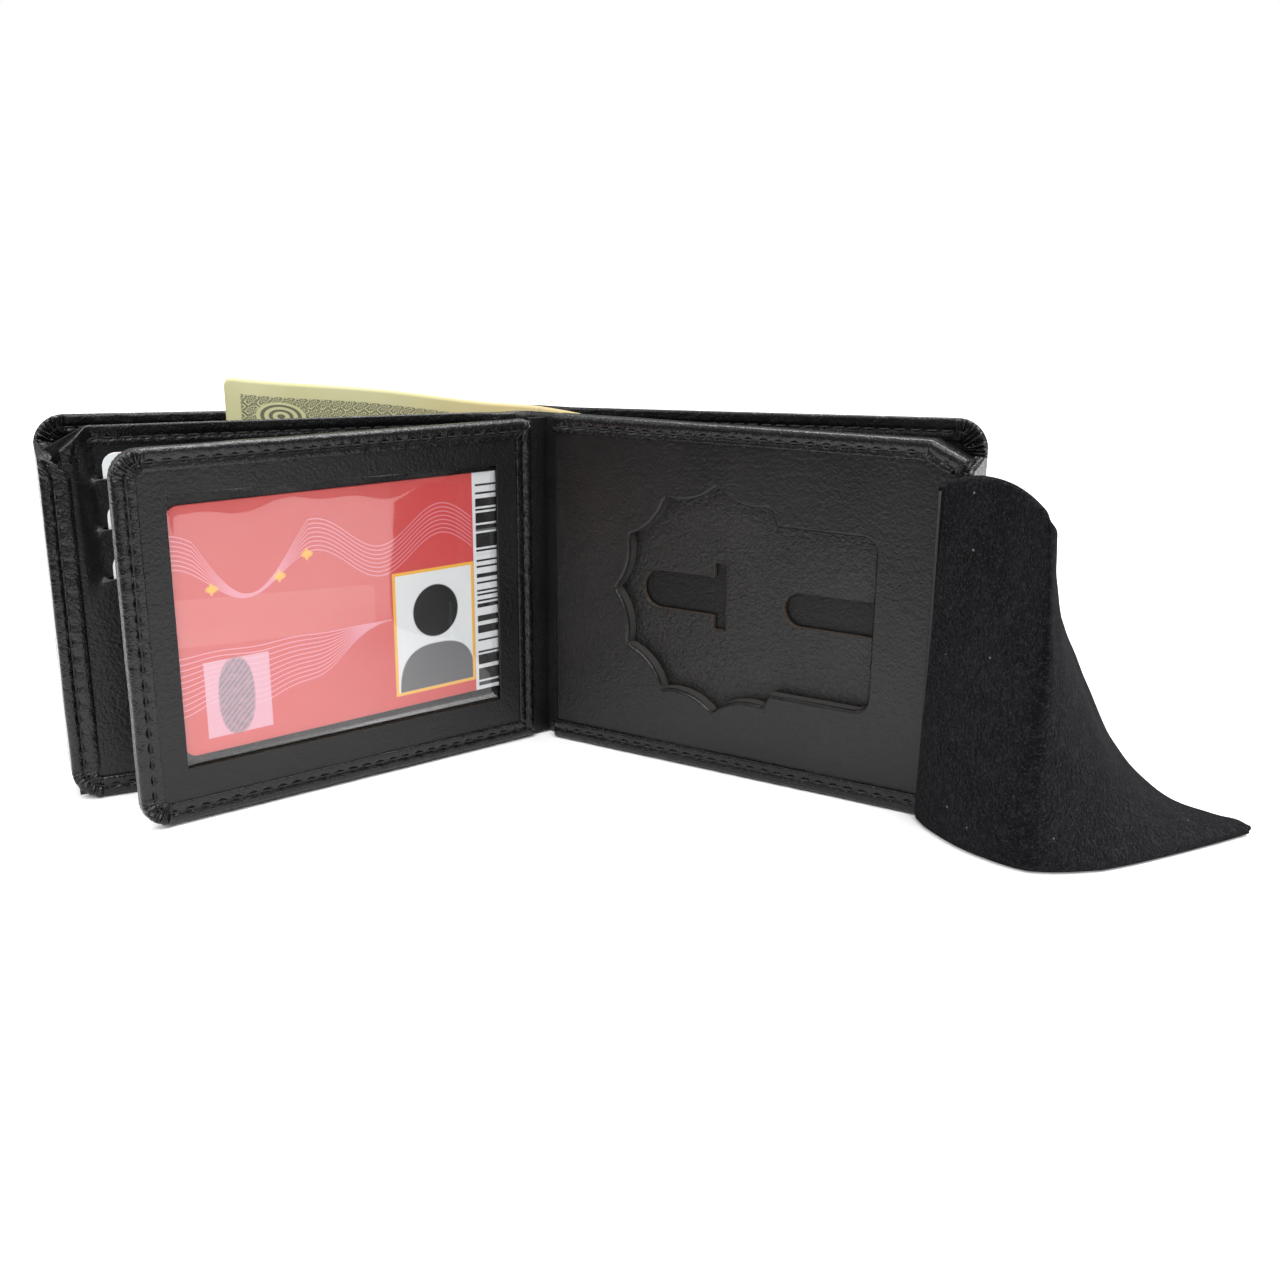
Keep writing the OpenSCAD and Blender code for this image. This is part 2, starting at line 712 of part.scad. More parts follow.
module suede_flap() {
    nu = (flap_rows - 1) * flap_steps;
    nv = (flap_cols - 1) * flap_steps;
    w = nv + 1;
    half = (nu + 1) * w;
    front = [for (i = [0:nu], j = [0:nv]) flap_point(i / flap_steps, j / flap_steps)];
    back = [for (i = [0:nu], j = [0:nv])
        front[i * w + j] + flap_t * flap_back(i / flap_steps, j / flap_steps)];
    faces = concat(
        [for (i = [0:nu - 1], j = [0:nv - 1]) each let (a = i * w + j)
            [[a, a + w, a + 1], [a + 1, a + w, a + w + 1]]],
        [for (i = [0:nu - 1], j = [0:nv - 1]) each let (a = half + i * w + j)
            [[a, a + 1, a + w], [a + 1, a + w + 1, a + w]]],
        [for (j = [0:nv - 1]) each let (a = nu * w + j, b = j)
            [[a, a + half, a + 1], [a + 1, a + half, a + half + 1],
            [b, b + 1, b + half], [b + 1, b + half + 1, b + half]]],
        [for (i = [0:nu - 1]) each let (a = i * w, b = i * w + nv)
            [[a, a + half, a + w], [a + w, a + half, a + half + w],
            [b, b + w, b + half], [b + w, b + half + w, b + half]]]);
    color("#1a1b20") polyhedron(concat(front, back), faces);
}

spine_cover();
spine_lining();
inner_spine_strip();
leaf_hinge_strip();
leaf_front_frame();
leaf_window();
leaf_pocket_spacer();
leaf_back();
leaf_turned_edge();
leaf_seam_thread();
id_card();
left_cover();
left_cover_lining();
left_turned_edge();
left_inner_wall();
left_top_binding();
card_pocket_top();
card_pocket_middle();
card_pocket_bottom();
left_seam_thread();
card_top();
card_middle();
card_bottom();
banknote();
right_cover();
right_cover_lining();
right_turned_edge();
badge_face();
badge_board();
badge_backing();
badge_inner_wall();
badge_top_binding();
right_seam_thread();
flap_sewn_edge();
flap_seam_thread();
suede_flap();
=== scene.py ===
import math
import random

import bpy
import bmesh
import numpy as np
from mathutils import Matrix, Vector


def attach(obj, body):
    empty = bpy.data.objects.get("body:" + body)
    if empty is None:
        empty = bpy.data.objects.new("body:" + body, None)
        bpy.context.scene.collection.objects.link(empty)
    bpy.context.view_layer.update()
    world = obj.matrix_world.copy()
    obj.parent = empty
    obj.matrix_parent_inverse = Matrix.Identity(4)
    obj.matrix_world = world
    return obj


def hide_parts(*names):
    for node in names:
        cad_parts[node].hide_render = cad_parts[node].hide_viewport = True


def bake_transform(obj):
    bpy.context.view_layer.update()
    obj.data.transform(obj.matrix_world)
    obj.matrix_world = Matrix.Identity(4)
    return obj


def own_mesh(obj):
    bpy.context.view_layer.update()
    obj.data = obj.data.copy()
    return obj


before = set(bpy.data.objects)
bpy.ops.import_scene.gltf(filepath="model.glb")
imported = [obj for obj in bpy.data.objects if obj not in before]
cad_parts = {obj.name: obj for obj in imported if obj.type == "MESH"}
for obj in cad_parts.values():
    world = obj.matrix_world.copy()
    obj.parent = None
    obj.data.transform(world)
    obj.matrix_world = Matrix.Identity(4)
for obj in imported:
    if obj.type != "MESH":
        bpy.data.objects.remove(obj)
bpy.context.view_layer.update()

mm = 0.001                                          # every size below is in mm

# the boards of the wallet: the foot of each front face at the fold, its turn, and which way its depth runs
boards = {
    "badge": {"foot": (0.0, 0.0), "turn": 0.0, "away": 1, "body": "right_half"},
    "leaf": {"foot": (-2.93, -2.9), "turn": -109.5, "away": -1, "body": "spine"},
    "cards": {"foot": (-6.832, -1.518), "turn": -122.14, "away": -1, "body": "left_half"},
}


def toFrame(board, spots):                          # (along, depth, height) in mm, to metres in the frame
    spots = np.asarray(spots, float)
    if board is None:
        return spots * mm
    facts = boards[board]
    turn = math.radians(facts["turn"])
    along, depth = spots[..., 0], spots[..., 1] * facts["away"]
    out = spots.copy()
    out[..., 0] = facts["foot"][0] + along * math.cos(turn) - depth * math.sin(turn)
    out[..., 1] = facts["foot"][1] + along * math.sin(turn) + depth * math.cos(turn)
    return out * mm


def ramp(value, span):                              # 0 up to 0, then up to 1 over span
    return np.clip(value / span, 0, 1)


def smooth(share):
    return share * share * (3 - 2 * share)


def bell(value, middle, wide):
    return np.exp(-((value - middle) / wide) ** 2)


def addObject(name, data):
    made = bpy.data.objects.new(name, data)
    bpy.context.scene.collection.objects.link(made)
    return made


def dress(mesh, finish):                            # smooth shading and one material
    if "custom_normal" in mesh.attributes:
        mesh.attributes.remove(mesh.attributes["custom_normal"])
    mesh.polygons.foreach_set("use_smooth", [True] * len(mesh.polygons))
    mesh.materials.clear()
    mesh.materials.append(finishes[finish])


def addBevel(thing, width, segments, method):
    bevel = thing.modifiers.new("bevel", "BEVEL")
    bevel.width, bevel.segments, bevel.limit_method = width * mm, segments, method
    bevel.harden_normals = True
    return bevel


# Shader nodes

class Wire:                                         # one output of a node, for sums written as Python
    def __init__(self, finish, socket):
        self.finish, self.socket = finish, socket

    def maths(self, operation, first, second=0.0):
        return self.finish.node("ShaderNodeMath", {"operation": operation}, {0: first, 1: second})

    def __add__(self, other):
        return self.maths("ADD", self, other)

    def __sub__(self, other):
        return self.maths("SUBTRACT", self, other)

    def __rsub__(self, other):
        return self.maths("SUBTRACT", other, self)

    def __mul__(self, other):
        return self.maths("MULTIPLY", self, other)

    def __truediv__(self, other):
        return self.maths("DIVIDE", self, other)

    def __pow__(self, other):
        return self.maths("POWER", self, other)

    __radd__, __rmul__ = __add__, __mul__

    def sine(self):
        return self.maths("SINE", self)

    def size(self):
        return self.maths("ABSOLUTE", self)

    def floor(self):
        return self.maths("FLOOR", self)

    def least(self, other):
        return self.maths("MINIMUM", self, other)

    def most(self, other):
        return self.maths("MAXIMUM", self, other)

    def rise(self, start, end):                     # 0 before start and 1 after end, smooth between
        return self.finish.node("ShaderNodeMapRange", {"interpolation_type": "SMOOTHSTEP"},
                                {"Value": self, "From Min": start, "From Max": end})

    def inside(self, low, high, soft=0.1):
        return self.rise(low - soft, low + soft) * (1 - self.rise(high - soft, high + soft))


class Finish:                                       # one material
    def __init__(self, name, **constants):
        self.material = bpy.data.materials.new(name)
        self.material.use_nodes = True
        self.tree = self.material.node_tree
        self.shader = self.tree.nodes["Principled BSDF"]
        self.end = self.tree.nodes["Material Output"]
        for key, value in constants.items():
            self.shader.inputs[key.replace("_", " ")].default_value = value

    def node(self, kind, settings=None, inputs=None, output=0):
        made = self.tree.nodes.new(kind)
        for key, value in (settings or {}).items():
            setattr(made, key, value)
        for key, value in (inputs or {}).items():
            if isinstance(value, Wire):
                self.tree.links.new(value.socket, made.inputs[key])
            elif value is not None:
                made.inputs[key].default_value = value
        return Wire(self, made.outputs[output])

    def feed(self, **wires):
        for key, wire in wires.items():
            self.tree.links.new(wire.socket, self.shader.inputs[key.replace("_", " ")])

    def place(self):                                # the point on the surface, in mm
        spot = self.node("ShaderNodeTexCoord", output="Object")
        return self.node("ShaderNodeVectorMath", {"operation": "SCALE"}, {0: spot, "Scale": 1 / mm})

    def flat(self):                                 # the same for a piece that bends, from its unbent shape
        return self.node("ShaderNodeAttribute", {"attribute_name": "flatPlace"}, output="Vector")

    def parts(self, spot):
        return [self.node("ShaderNodeSeparateXYZ", None, {0: spot}, output=axis) for axis in "XYZ"]

    def noise(self, spot, size, detail=2.0, rough=0.5, warp=0.0):
        return self.node("ShaderNodeTexNoise", None, {"Vector": spot, "Scale": 1 / size, "Detail": detail,
                                                     "Roughness": rough, "Distortion": warp})

    def cells(self, spot, size, feature="F1"):
        return self.node("ShaderNodeTexVoronoi", {"feature": feature}, {"Vector": spot, "Scale": 1 / size},
                         output="Distance")

    def blend(self, share, first, second):
        return self.node("ShaderNodeMix", {"data_type": "RGBA"},
                         {"Factor": share, 6: self.paint(first), 7: self.paint(second)}, output=2)

    def paint(self, colour):
        return (*colour, 1.0) if isinstance(colour, tuple) and len(colour) == 3 else colour

    def bump(self, *layers):                        # each layer is a height wire and its depth in mm
        total = None
        for height, depth in layers:
            part = height * depth
            total = part if total is None else total + part
        return self.node("ShaderNodeBump", None, {"Height": total * mm, "Distance": 1.0, "Strength": 1.0},
                         output="Normal")


# Leather: a fine grain of small cells, pores, soft hollows, a little dust, and painted shade darkening the
# grain's creases
leathers = {
    "cover_leather": {"dark": (0.0015, 0.0015, 0.0017), "light": (0.0065, 0.0065, 0.007), "rough": 0.31,
                      "grain": 0.75, "depth": 0.12, "hollow": 0.12, "gloss": 0.32, "crease": 0.5},
    "panel_leather": {"dark": (0.0025, 0.0023, 0.0023), "light": (0.0075, 0.007, 0.007), "rough": 0.34,
                      "grain": 0.7, "depth": 0.085, "hollow": 0.06, "gloss": 0.32, "crease": 0.2},
    "edge_leather": {"dark": (0.0008, 0.0008, 0.001), "light": (0.0058, 0.0058, 0.0062), "rough": 0.26,
                     "grain": 0.7, "depth": 0.08, "hollow": 0.16, "gloss": 0.36, "crease": 0.3},
    "lining_leather": {"dark": (0.0015, 0.0015, 0.0017), "light": (0.005, 0.005, 0.0055), "rough": 0.42,
                       "grain": 0.7, "depth": 0.1, "hollow": 0.05, "gloss": 0.24, "crease": 0.3},
    "backing_leather": {"dark": (0.0028, 0.0026, 0.0025), "light": (0.0105, 0.0099, 0.0095), "rough": 0.40,
                        "grain": 0.72, "depth": 0.15, "hollow": 0.05, "gloss": 0.37, "crease": 0.3},
}


def leatherFinish(name):
    facts = leathers[name]
    finish = Finish(name, Roughness=facts["rough"], Specular_IOR_Level=facts["gloss"])
    spot = finish.place()
    shove = finish.node("ShaderNodeTexNoise", None, {"Vector": spot, "Scale": 0.9, "Detail": 1.0},
                        output="Color")
    warped = finish.node("ShaderNodeVectorMath", {"operation": "ADD"}, {0: spot, 1: shove})
    grain = finish.cells(warped, facts["grain"], "SMOOTH_F1")
    # crease lines of the grain: used for their relief, and as the mask of the painted shade below
    creaseReliefAndShade = finish.cells(warped, facts["grain"] * 2.3, "DISTANCE_TO_EDGE").rise(0.0, 0.14)
    fine = finish.noise(spot, facts["grain"] * 0.5, 3.0, 0.6)
    drawn = finish.node("ShaderNodeMapping", None, {"Vector": spot, "Rotation": (0.0, 0.7, 0.35),
                                                    "Scale": (0.6, 1.0, 1.2)})
    streak = finish.noise(drawn, 1.8, 3.0, 0.6)
    hollow = finish.noise(spot, 9.0, 2.0, 0.5)
    patch = finish.noise(spot, 26.0, 3.0, 0.55)
    pore = 1 - finish.cells(spot, 1.3).rise(0.05, 0.16)
    dust = (1 - finish.cells(spot, 6.0).rise(0.012, 0.026)) * finish.noise(spot, 5.0).rise(0.52, 0.58)
    tone = finish.blend(patch.rise(0.3, 0.75), facts["dark"], facts["light"])
    tone = finish.blend(fine.rise(0.25, 0.75) * 0.5, tone, facts["light"])
    # painted shade: the colour is darkened along the grain's creases, where shade falls
    tone = finish.blend(1 - (1 - creaseReliefAndShade) * facts["crease"] * 0.6, facts["dark"], tone)
    tone = finish.blend(dust * 0.6, tone, (0.30, 0.30, 0.30))
    if name == "backing_leather":                   # brown fibres where it is cut
        facing = finish.node("ShaderNodeTexCoord", output="Normal")
        cut = 1 - finish.parts(facing)[1].size().rise(0.35, 0.8)
        tone = finish.blend(cut * fine.rise(0.3, 0.7), tone, (0.10, 0.066, 0.042))
    finish.feed(Base_Color=tone,
                Roughness=facts["rough"] - 0.09 + patch * 0.10 + fine * 0.12 + dust * 0.2 - creaseReliefAndShade * 0.03,
                Normal=finish.bump((grain, facts["depth"]), (creaseReliefAndShade, facts["depth"] * facts["crease"]),
                                   (fine, facts["depth"] * 0.5), (streak, facts["depth"] * 1.1),
                                   (hollow, facts["hollow"]), (pore, -0.05)))
    return finish.material


finishes = {name: leatherFinish(name) for name in leathers}


def boardFinish():                                  # dark board, seen in the thickness of the cutout
    finish = Finish("dark_board", Roughness=0.7)
    spot = finish.place()
    layer = finish.node("ShaderNodeMapping", None, {"Vector": spot, "Scale": (0.6, 6.0, 0.6)})
    fibre = finish.noise(layer, 1.0, 3.0)
    finish.feed(Base_Color=finish.blend(fibre, (0.012, 0.0115, 0.011), (0.05, 0.045, 0.04)),
                Normal=finish.bump((fibre, 0.05)))
    return finish.material


def suedeFinish():                                  # bluish black nap, brushed this way and that
    finish = Finish("black_suede", Roughness=1.0, Specular_IOR_Level=0.03, Sheen_Weight=0.08,
                    Sheen_Roughness=0.45, Sheen_Tint=(0.62, 0.63, 0.68, 1.0))
    spot = finish.flat()
    nap = finish.noise(spot, 0.75, 4.0, 0.75)
    tuft = finish.noise(spot, 1.9, 3.0, 0.7, 0.8)
    brushed = finish.noise(spot, 13.0, 3.0, 0.6, 1.0)
    fleck = finish.noise(spot, 0.6, 2.0, 0.6).rise(0.57, 0.68)
    dust = 1 - finish.cells(spot, 7.0).rise(0.03, 0.05)
    tone = finish.blend(brushed.rise(0.38, 0.66), (0.0015, 0.0015, 0.0018), (0.0062, 0.0062, 0.0072))
    tone = finish.blend(nap.rise(0.42, 0.58) * 0.9, tone, (0.0006, 0.0006, 0.0008))
    tone = finish.blend(tuft.rise(0.5, 0.64) * 0.6, tone, (0.014, 0.014, 0.0162))
    tone = finish.blend(fleck * 0.7, tone, (0.032, 0.033, 0.037))
    tone = finish.blend(dust * 0.6, tone, (0.25, 0.25, 0.25))
    finish.feed(Base_Color=tone, Normal=finish.bump((nap, 1.3), (tuft, 1.4), (brushed, 0.6)))
    return finish.material


def threadFinish():                                 # twisted waxed thread
    finish = Finish("black_thread", Roughness=0.42)
    spot = finish.place()
    twist = finish.node("ShaderNodeTexWave", {"bands_direction": "DIAGONAL"},
                        {"Vector": spot, "Scale": 2.2, "Distortion": 0.6})
    finish.feed(Base_Color=finish.blend(twist, (0.005, 0.005, 0.006), (0.016, 0.016, 0.018)),
                Normal=finish.bump((twist, 0.08)))
    return finish.material


def cardFinish():                                   # white plastic, pink where it is cut
    finish = Finish("white_card", Roughness=0.32, Coat_Weight=0.2)
    spot = finish.place()
    tint = finish.noise(spot, 18.0, 2.0)
    facing = finish.node("ShaderNodeNewGeometry", output="Normal")
    upright = finish.parts(facing)[2].size()
    tone = finish.blend(tint, (0.68, 0.70, 0.72), (0.78, 0.79, 0.80))
    tone = finish.blend(upright.rise(0.3, 0.9) * 0.6, tone, (0.55, 0.33, 0.37))
    finish.feed(Base_Color=tone, Normal=finish.bump((finish.noise(spot, 0.5, 2.0), 0.006)))
    return finish.material


def vinylFinish():                                  # clear film, seen through, with a gloss
    finish = Finish("clear_vinyl")
    spot = finish.place()
    wave = finish.noise(spot, 16.0, 2.0, 0.4)
    normal = finish.bump((wave, 0.05))
    clear = finish.node("ShaderNodeBsdfTransparent", None, {"Color": (0.985, 0.985, 0.985, 1.0)})
    gloss = finish.node("ShaderNodeBsdfGlossy", None,
                        {"Color": (1.0, 1.0, 1.0, 1.0), "Roughness": 0.03, "Normal": normal})
    edge = finish.node("ShaderNodeFresnel", None, {"IOR": 1.5, "Normal": normal})
    both = finish.node("ShaderNodeMixShader", None, {0: edge * 0.22 + 0.022, 1: clear, 2: gloss})
    finish.tree.links.new(both.socket, finish.end.inputs["Surface"])
    return finish.material


# Identity card: generic print of waves, a picture box, a print oval and bars, in mm from its own corner
idPrint = {"red": (0.51, 0.068, 0.065), "deep": (0.51, 0.057, 0.055), "pale": (0.62, 0.215, 0.215),
           "wave": (0.66, 0.30, 0.38), "gold": (0.74, 0.44, 0.02), "white": (0.62, 0.64, 0.65),
           "black": (0.010, 0.010, 0.010), "grey": (0.085, 0.085, 0.09), "thumb": (0.16, 0.13, 0.16),
           "lilac": (0.62, 0.38, 0.47)}
idBoxes = {"thumb": (68.8, 84.3, 3.3, 21.2), "frame": (12.7, 36.1, 3.1, 34.6),
           "photo": (13.5, 35.3, 3.9, 33.8)}


def idFinish():
    finish = Finish("id_card_print", Roughness=0.35, Coat_Weight=0.25)
    spot = finish.flat()
    x, z, _ = finish.parts(spot)                    # x from the hinge side, z from the lower edge
    paint = idPrint
    wash = finish.noise(spot, 20.0, 2.0)
    tone = finish.blend(wash.rise(0.3, 0.7), paint["red"], paint["deep"])
    band = x.inside(41.0, 100.0, 0.2) * (z - x * 0.074).inside(19.0, 29.8, 0.2)
    tone = finish.blend(band * 0.22, tone, paint["pale"])

    def lines(levels, low, high):                   # fine parallel lines
        total = None
        for level in levels:
            mark = 1 - (z - level).size().rise(0.06, 0.2)
            total = mark if total is None else total.most(mark)
        return total * x.inside(low, high, 0.4)

    swing = ((x - 47.5) * (2 * math.pi / 34)).sine() * 4.3 + 39.0
    spread = (((x - 71.0) * (x - 71.0)) * 0.0052 + 0.08).least(1.05)
    upper = lines([swing + spread * step for step in range(8)], 13.0, 90.0)
    fall = x.rise(37.0, 64.0)
    ripples = (x * 0.33).sine() * 0.8
    fanned = [23.2 - fall * (step * 1.25) + ripples * (fall * (0.3 + step * 0.12)) for step in range(11)]
    lower = lines(fanned, 36.5, 90.0)
    tone = finish.blend(upper.most(lower) * 0.75, tone, paint["wave"])

    def ovalAt(cx, cz, wide, high, power=2.0, soft=0.06):
        reach = ((x - cx) / wide).size() ** power + ((z - cz) / high).size() ** power
        return 1 - reach.rise(1 - soft, 1 + soft)

    def box(name, soft=0.1):
        left, right, low, high = idBoxes[name]
        return x.inside(left, right, soft) * z.inside(low, high, soft)

    for cx, cz in ((81.0, 37.7), (64.9, 38.4), (57.9, 42.6)):
        fleck = ovalAt(cx, cz, 1.4, 0.8, 2.0, 0.5).most(ovalAt(cx + 0.1, cz, 0.5, 1.4, 2.0, 0.5))
        tone = finish.blend(fleck * 0.8, tone, paint["gold"])
    tone = finish.blend(box("thumb", 0.12) * 0.75, tone, paint["lilac"])
    ridges = finish.node("ShaderNodeTexWave", {"wave_type": "BANDS", "bands_direction": "DIAGONAL"},
                         {"Vector": spot, "Scale": 0.42, "Distortion": 9.0, "Detail": 2.0,
                          "Detail Scale": 0.12})
    worn = finish.noise(spot, 1.6, 3.0, 0.7)
    oval = ovalAt(77.0, 12.2, 4.3, 9.0, 2.3, 0.12) * (worn.rise(0.2, 0.6) * 0.4 + 0.6)
    tone = finish.blend(oval * (ridges.rise(0.1, 0.7) * 0.3 + 0.6), tone, paint["thumb"])
    frameBox, photoBox = box("frame"), box("photo")
    dotted = ((x * 6.0).sine() * (z * 6.0).sine()).rise(-0.5, 0.3)
    tone = finish.blend(frameBox, tone, paint["gold"])
    tone = finish.blend(frameBox * dotted * 0.35, tone, paint["pale"])
    tone = finish.blend(photoBox, tone, paint["white"])
    tone = finish.blend(ovalAt(24.1, 23.6, 6.5, 6.7), tone, paint["black"])
    tone = finish.blend(ovalAt(23.8, 3.2, 11.0, 12.0, 2.7) * photoBox, tone, paint["grey"])
    strip = 1 - x.rise(12.5, 12.7)
    barNoise = finish.node("ShaderNodeTexWhiteNoise", {"noise_dimensions": "1D"},
                           {"W": (z * 1.9).floor()})
    bars = strip * (1 - x.rise(11.6, 11.8)) * barNoise.rise(0.42, 0.43) * z.inside(0.8, 55.0, 0.1)
    tone = finish.blend(strip, tone, paint["white"])
    tone = finish.blend(bars, tone, paint["black"])
    finish.feed(Base_Color=tone)
    return finish.material


def noteFinish():                                   # paper with a dark frame of fine crossing waves
    finish = Finish("note_paper", Roughness=0.75)
    spot = finish.flat()
    along, height, _ = finish.parts(spot)           # along from the left end, height above the lower edge
    fibre = finish.noise(spot, 0.5, 3.0, 0.6)
    worn = finish.noise(spot, 22.0, 3.0, 0.6)
    tan = along.rise(30.0, 85.0)
    paper = finish.blend(tan, (0.55, 0.54, 0.28), (0.61, 0.47, 0.21))
    paper = finish.blend(worn.rise(0.35, 0.75) * 0.45, paper, (0.70, 0.65, 0.43))
    border = height.inside(52.0, 62.6, 0.15) * along.inside(3.6, 73.0, 0.2)
    rosette = ((along * 2.1).sine() + (height * 2.6).sine()) * 0.5
    lace = ((along * 5.2 + rosette * 3.0).sine() * (height * 5.6 - rosette * 2.6).sine()).size()
    reach = ((along - 13.0) * (along - 13.0)) * 0.32 + (height - 58.0) * (height - 58.0)
    medallion = 1 - reach.rise(11.0, 12.5)
    rings = (reach ** 0.5 * 5.5).sine().rise(-0.2, 0.4)
    ink = border * lace.rise(0.12, 0.4) * (1 - medallion) + medallion * rings
    tone = finish.blend(ink * 0.88, paper, (0.035, 0.042, 0.025))
    tone = finish.blend(fibre * 0.12, tone, (0.7, 0.66, 0.5))
    finish.feed(Base_Color=tone, Normal=finish.bump((fibre, 0.015), (worn, 0.1)))
    return finish.material


finishes.update({"dark_board": boardFinish(), "black_suede": suedeFinish(), "black_thread": threadFinish(),
                 "white_card": cardFinish(), "clear_vinyl": vinylFinish(), "id_card_print": idFinish(),
                 "note_paper": noteFinish()})
print("finishes made:", len(finishes))


# Outlines and what is swept along them

class Trace:                                        # outline of (along, height, radius), inside on the left
    def __init__(self, corners, closed=False, step=0.5, arcSteps=14):
        self.points = np.array([c[:2] for c in corners], float)
        self.radii = np.array([c[2] if len(c) > 2 else 0.0 for c in corners], float)
        self.closed = closed
        count = len(self.points)
        runs = count if closed else count - 1
        heads = np.array([self.points[(i + 1) % count] - self.points[i] for i in range(runs)])
        lengths = np.linalg.norm(heads, axis=1)
        heads /= lengths[:, None]
        inward = np.stack([-heads[:, 1], heads[:, 0]], 1)
        self.mitre = np.zeros((count, 2))
        angles = []
        for i in range(count):
            before = inward[(i - 1) % runs] if closed or i > 0 else inward[0]
            after = inward[i % runs] if closed or i < count - 1 else inward[-1]
            self.mitre[i] = (before + after) / (1 + before @ after)
            angles.append((before, after))
        rows = []                                   # corner, normal, next corner, normal, share, turning
        for i in range(count):
            before, after = angles[i]
            if self.radii[i] > 0:
                spread = math.acos(max(-1.0, min(1.0, before @ after)))
                sign = 1 if before[0] * after[1] - before[1] * after[0] > 0 else -1
                for k in range(arcSteps + 1):
                    a = sign * spread * k / arcSteps
                    normal = np.array([before[0] * math.cos(a) - before[1] * math.sin(a),
                                       before[0] * math.sin(a) + before[1] * math.cos(a)])
                    rows.append((i, normal, i, normal, 0.0, 1.0))
            else:
                normal = after if i < runs else before
                rows.append((i, normal, i, normal, 0.0, 0.0))
            if i < runs:
                steps = max(2, int(lengths[i] / step))
                j = (i + 1) % count
                rows += [(i, inward[i], j, inward[i], k / steps, 0.0) for k in range(1, steps)]
        columns = [np.array(column) for column in zip(*rows)]
        self.start, self.startNormal, self.goal, self.goalNormal, share, self.turning = columns
        self.share = share[:, None]
        self.count = len(rows)
        self.along = self.measure(0.0)

    def corner(self, index, normal, inset):
        radius = self.radii[index]
        reach = np.maximum(radius, inset)[:, None]
        turn = np.maximum(radius - inset, 0)[:, None]
        return self.points[index] + reach * self.mitre[index] - turn * normal

    def line(self, inset):                          # the outline drawn in by inset, which may vary along it
        inset = np.broadcast_to(np.asarray(inset, float), (self.count,))
        first = self.corner(self.start, self.startNormal, inset)
        return first + (self.corner(self.goal, self.goalNormal, inset) - first) * self.share

    def measure(self, inset):                       # length along that line
        line = self.line(inset)
        return np.concatenate([[0], np.cumsum(np.linalg.norm(np.diff(line, axis=0), axis=1))])


def section(corners, step=0.45, closed=True):       # a rounded section as (inset, depth) points
    corners = [(d, y, r) for d, y, *rest in corners for r in (rest or [0.0])]
    area = sum(a[0] * b[1] - b[0] * a[1] for a, b in zip(corners, corners[1:] + corners[:1]))
    order = 1 if area > 0 else -1                   # Trace rounds corners that turn left
    return Trace(corners[::order], closed, step, 6).line(0.0)[::order]


def ripple(spots, length, seed):                    # smooth unevenness from -1 to 1
    rng = random.Random(seed)
    total = 0.0
    for _ in range(5):
        heading = np.array([rng.uniform(-1, 1) for _ in range(3)])
        heading *= rng.uniform(0.7, 1.4) * 2 * math.pi / length / np.linalg.norm(heading)
        total = total + np.sin(spots @ heading + rng.uniform(0, 6.3))
    return total / 3.2


seamStyle = {"inset": 2.9, "pitch": 3.7, "draw": 0.55, "depth": 0.24, "hole": 0.36, "puff": 0.07}


def seamRelief(along, inset, seam):                 # leather drawn in along a seam and pierced at each stitch
    beat = np.abs(((along / seam["pitch"]) % 1.0) - 0.5) * 2        # 1 at a hole, 0 at mid-stitch
    hole = np.exp(-((inset - seam["inset"]) / 0.42) ** 2 - (((1 - beat) * seam["pitch"] / 2) / 0.45) ** 2)
    trough = bell(inset, seam["inset"], seam["draw"])
    swell = bell(inset, seam["inset"], 1.7) * (1 - beat) * seam["puff"]
    return -seam["depth"] * trough - seam["hole"] * hole + swell


def pleatRelief(trace, inset, pleats):              # gathered leather round the corners
    weight = np.convolve(trace.turning, np.hanning(11) / np.hanning(11).sum(), "same")
    position = trace.along
    sway = 0.9 * np.sin(position * 0.9 + pleats["seed"])
    beat = np.abs(np.sin(position * math.pi / pleats["width"] + sway))
    fall = bell(inset, pleats["from"], pleats["reach"])
    fold = (beat ** 0.7 - 0.55) * (0.75 + 0.5 * np.sin(position * 2.7 + inset * 1.3 + pleats["seed"] * 3))
    return pleats["height"] * fold * fall * weight


def makeObject(name, spots, faces, board, finish, keep=None):
    mesh = bpy.data.meshes.new(name)
    mesh.from_pydata(toFrame(board, spots).tolist(), [], faces)
    if keep is not None:                            # the unbent place of every point, in mm
        mesh.attributes.new("flatPlace", "FLOAT_VECTOR", "POINT").data.foreach_set(
            "vector", np.asarray(keep, np.float32).ravel())
    merged = bmesh.new()
    merged.from_mesh(mesh)
    bmesh.ops.remove_doubles(merged, verts=merged.verts, dist=2e-6)
    bmesh.ops.dissolve_degenerate(merged, edges=merged.edges, dist=1e-6)
    bmesh.ops.recalc_face_normals(merged, faces=merged.faces)
    merged.to_mesh(mesh)
    merged.free()
    dress(mesh, finish)
    thing = addObject(name, mesh)
    return thing


def ringFaces(rings, count, base=0):                # rings of count points joined in turn, both ends closed
    faces = []
    for r in range(rings - 1):
        for i in range(count):
            a, b = base + r * count + i, base + r * count + (i + 1) % count
            faces.append((a, b, b + count, a + count))
    faces.append([base + i for i in range(count)][::-1])
    faces.append([base + (rings - 1) * count + i for i in range(count)])
    return faces


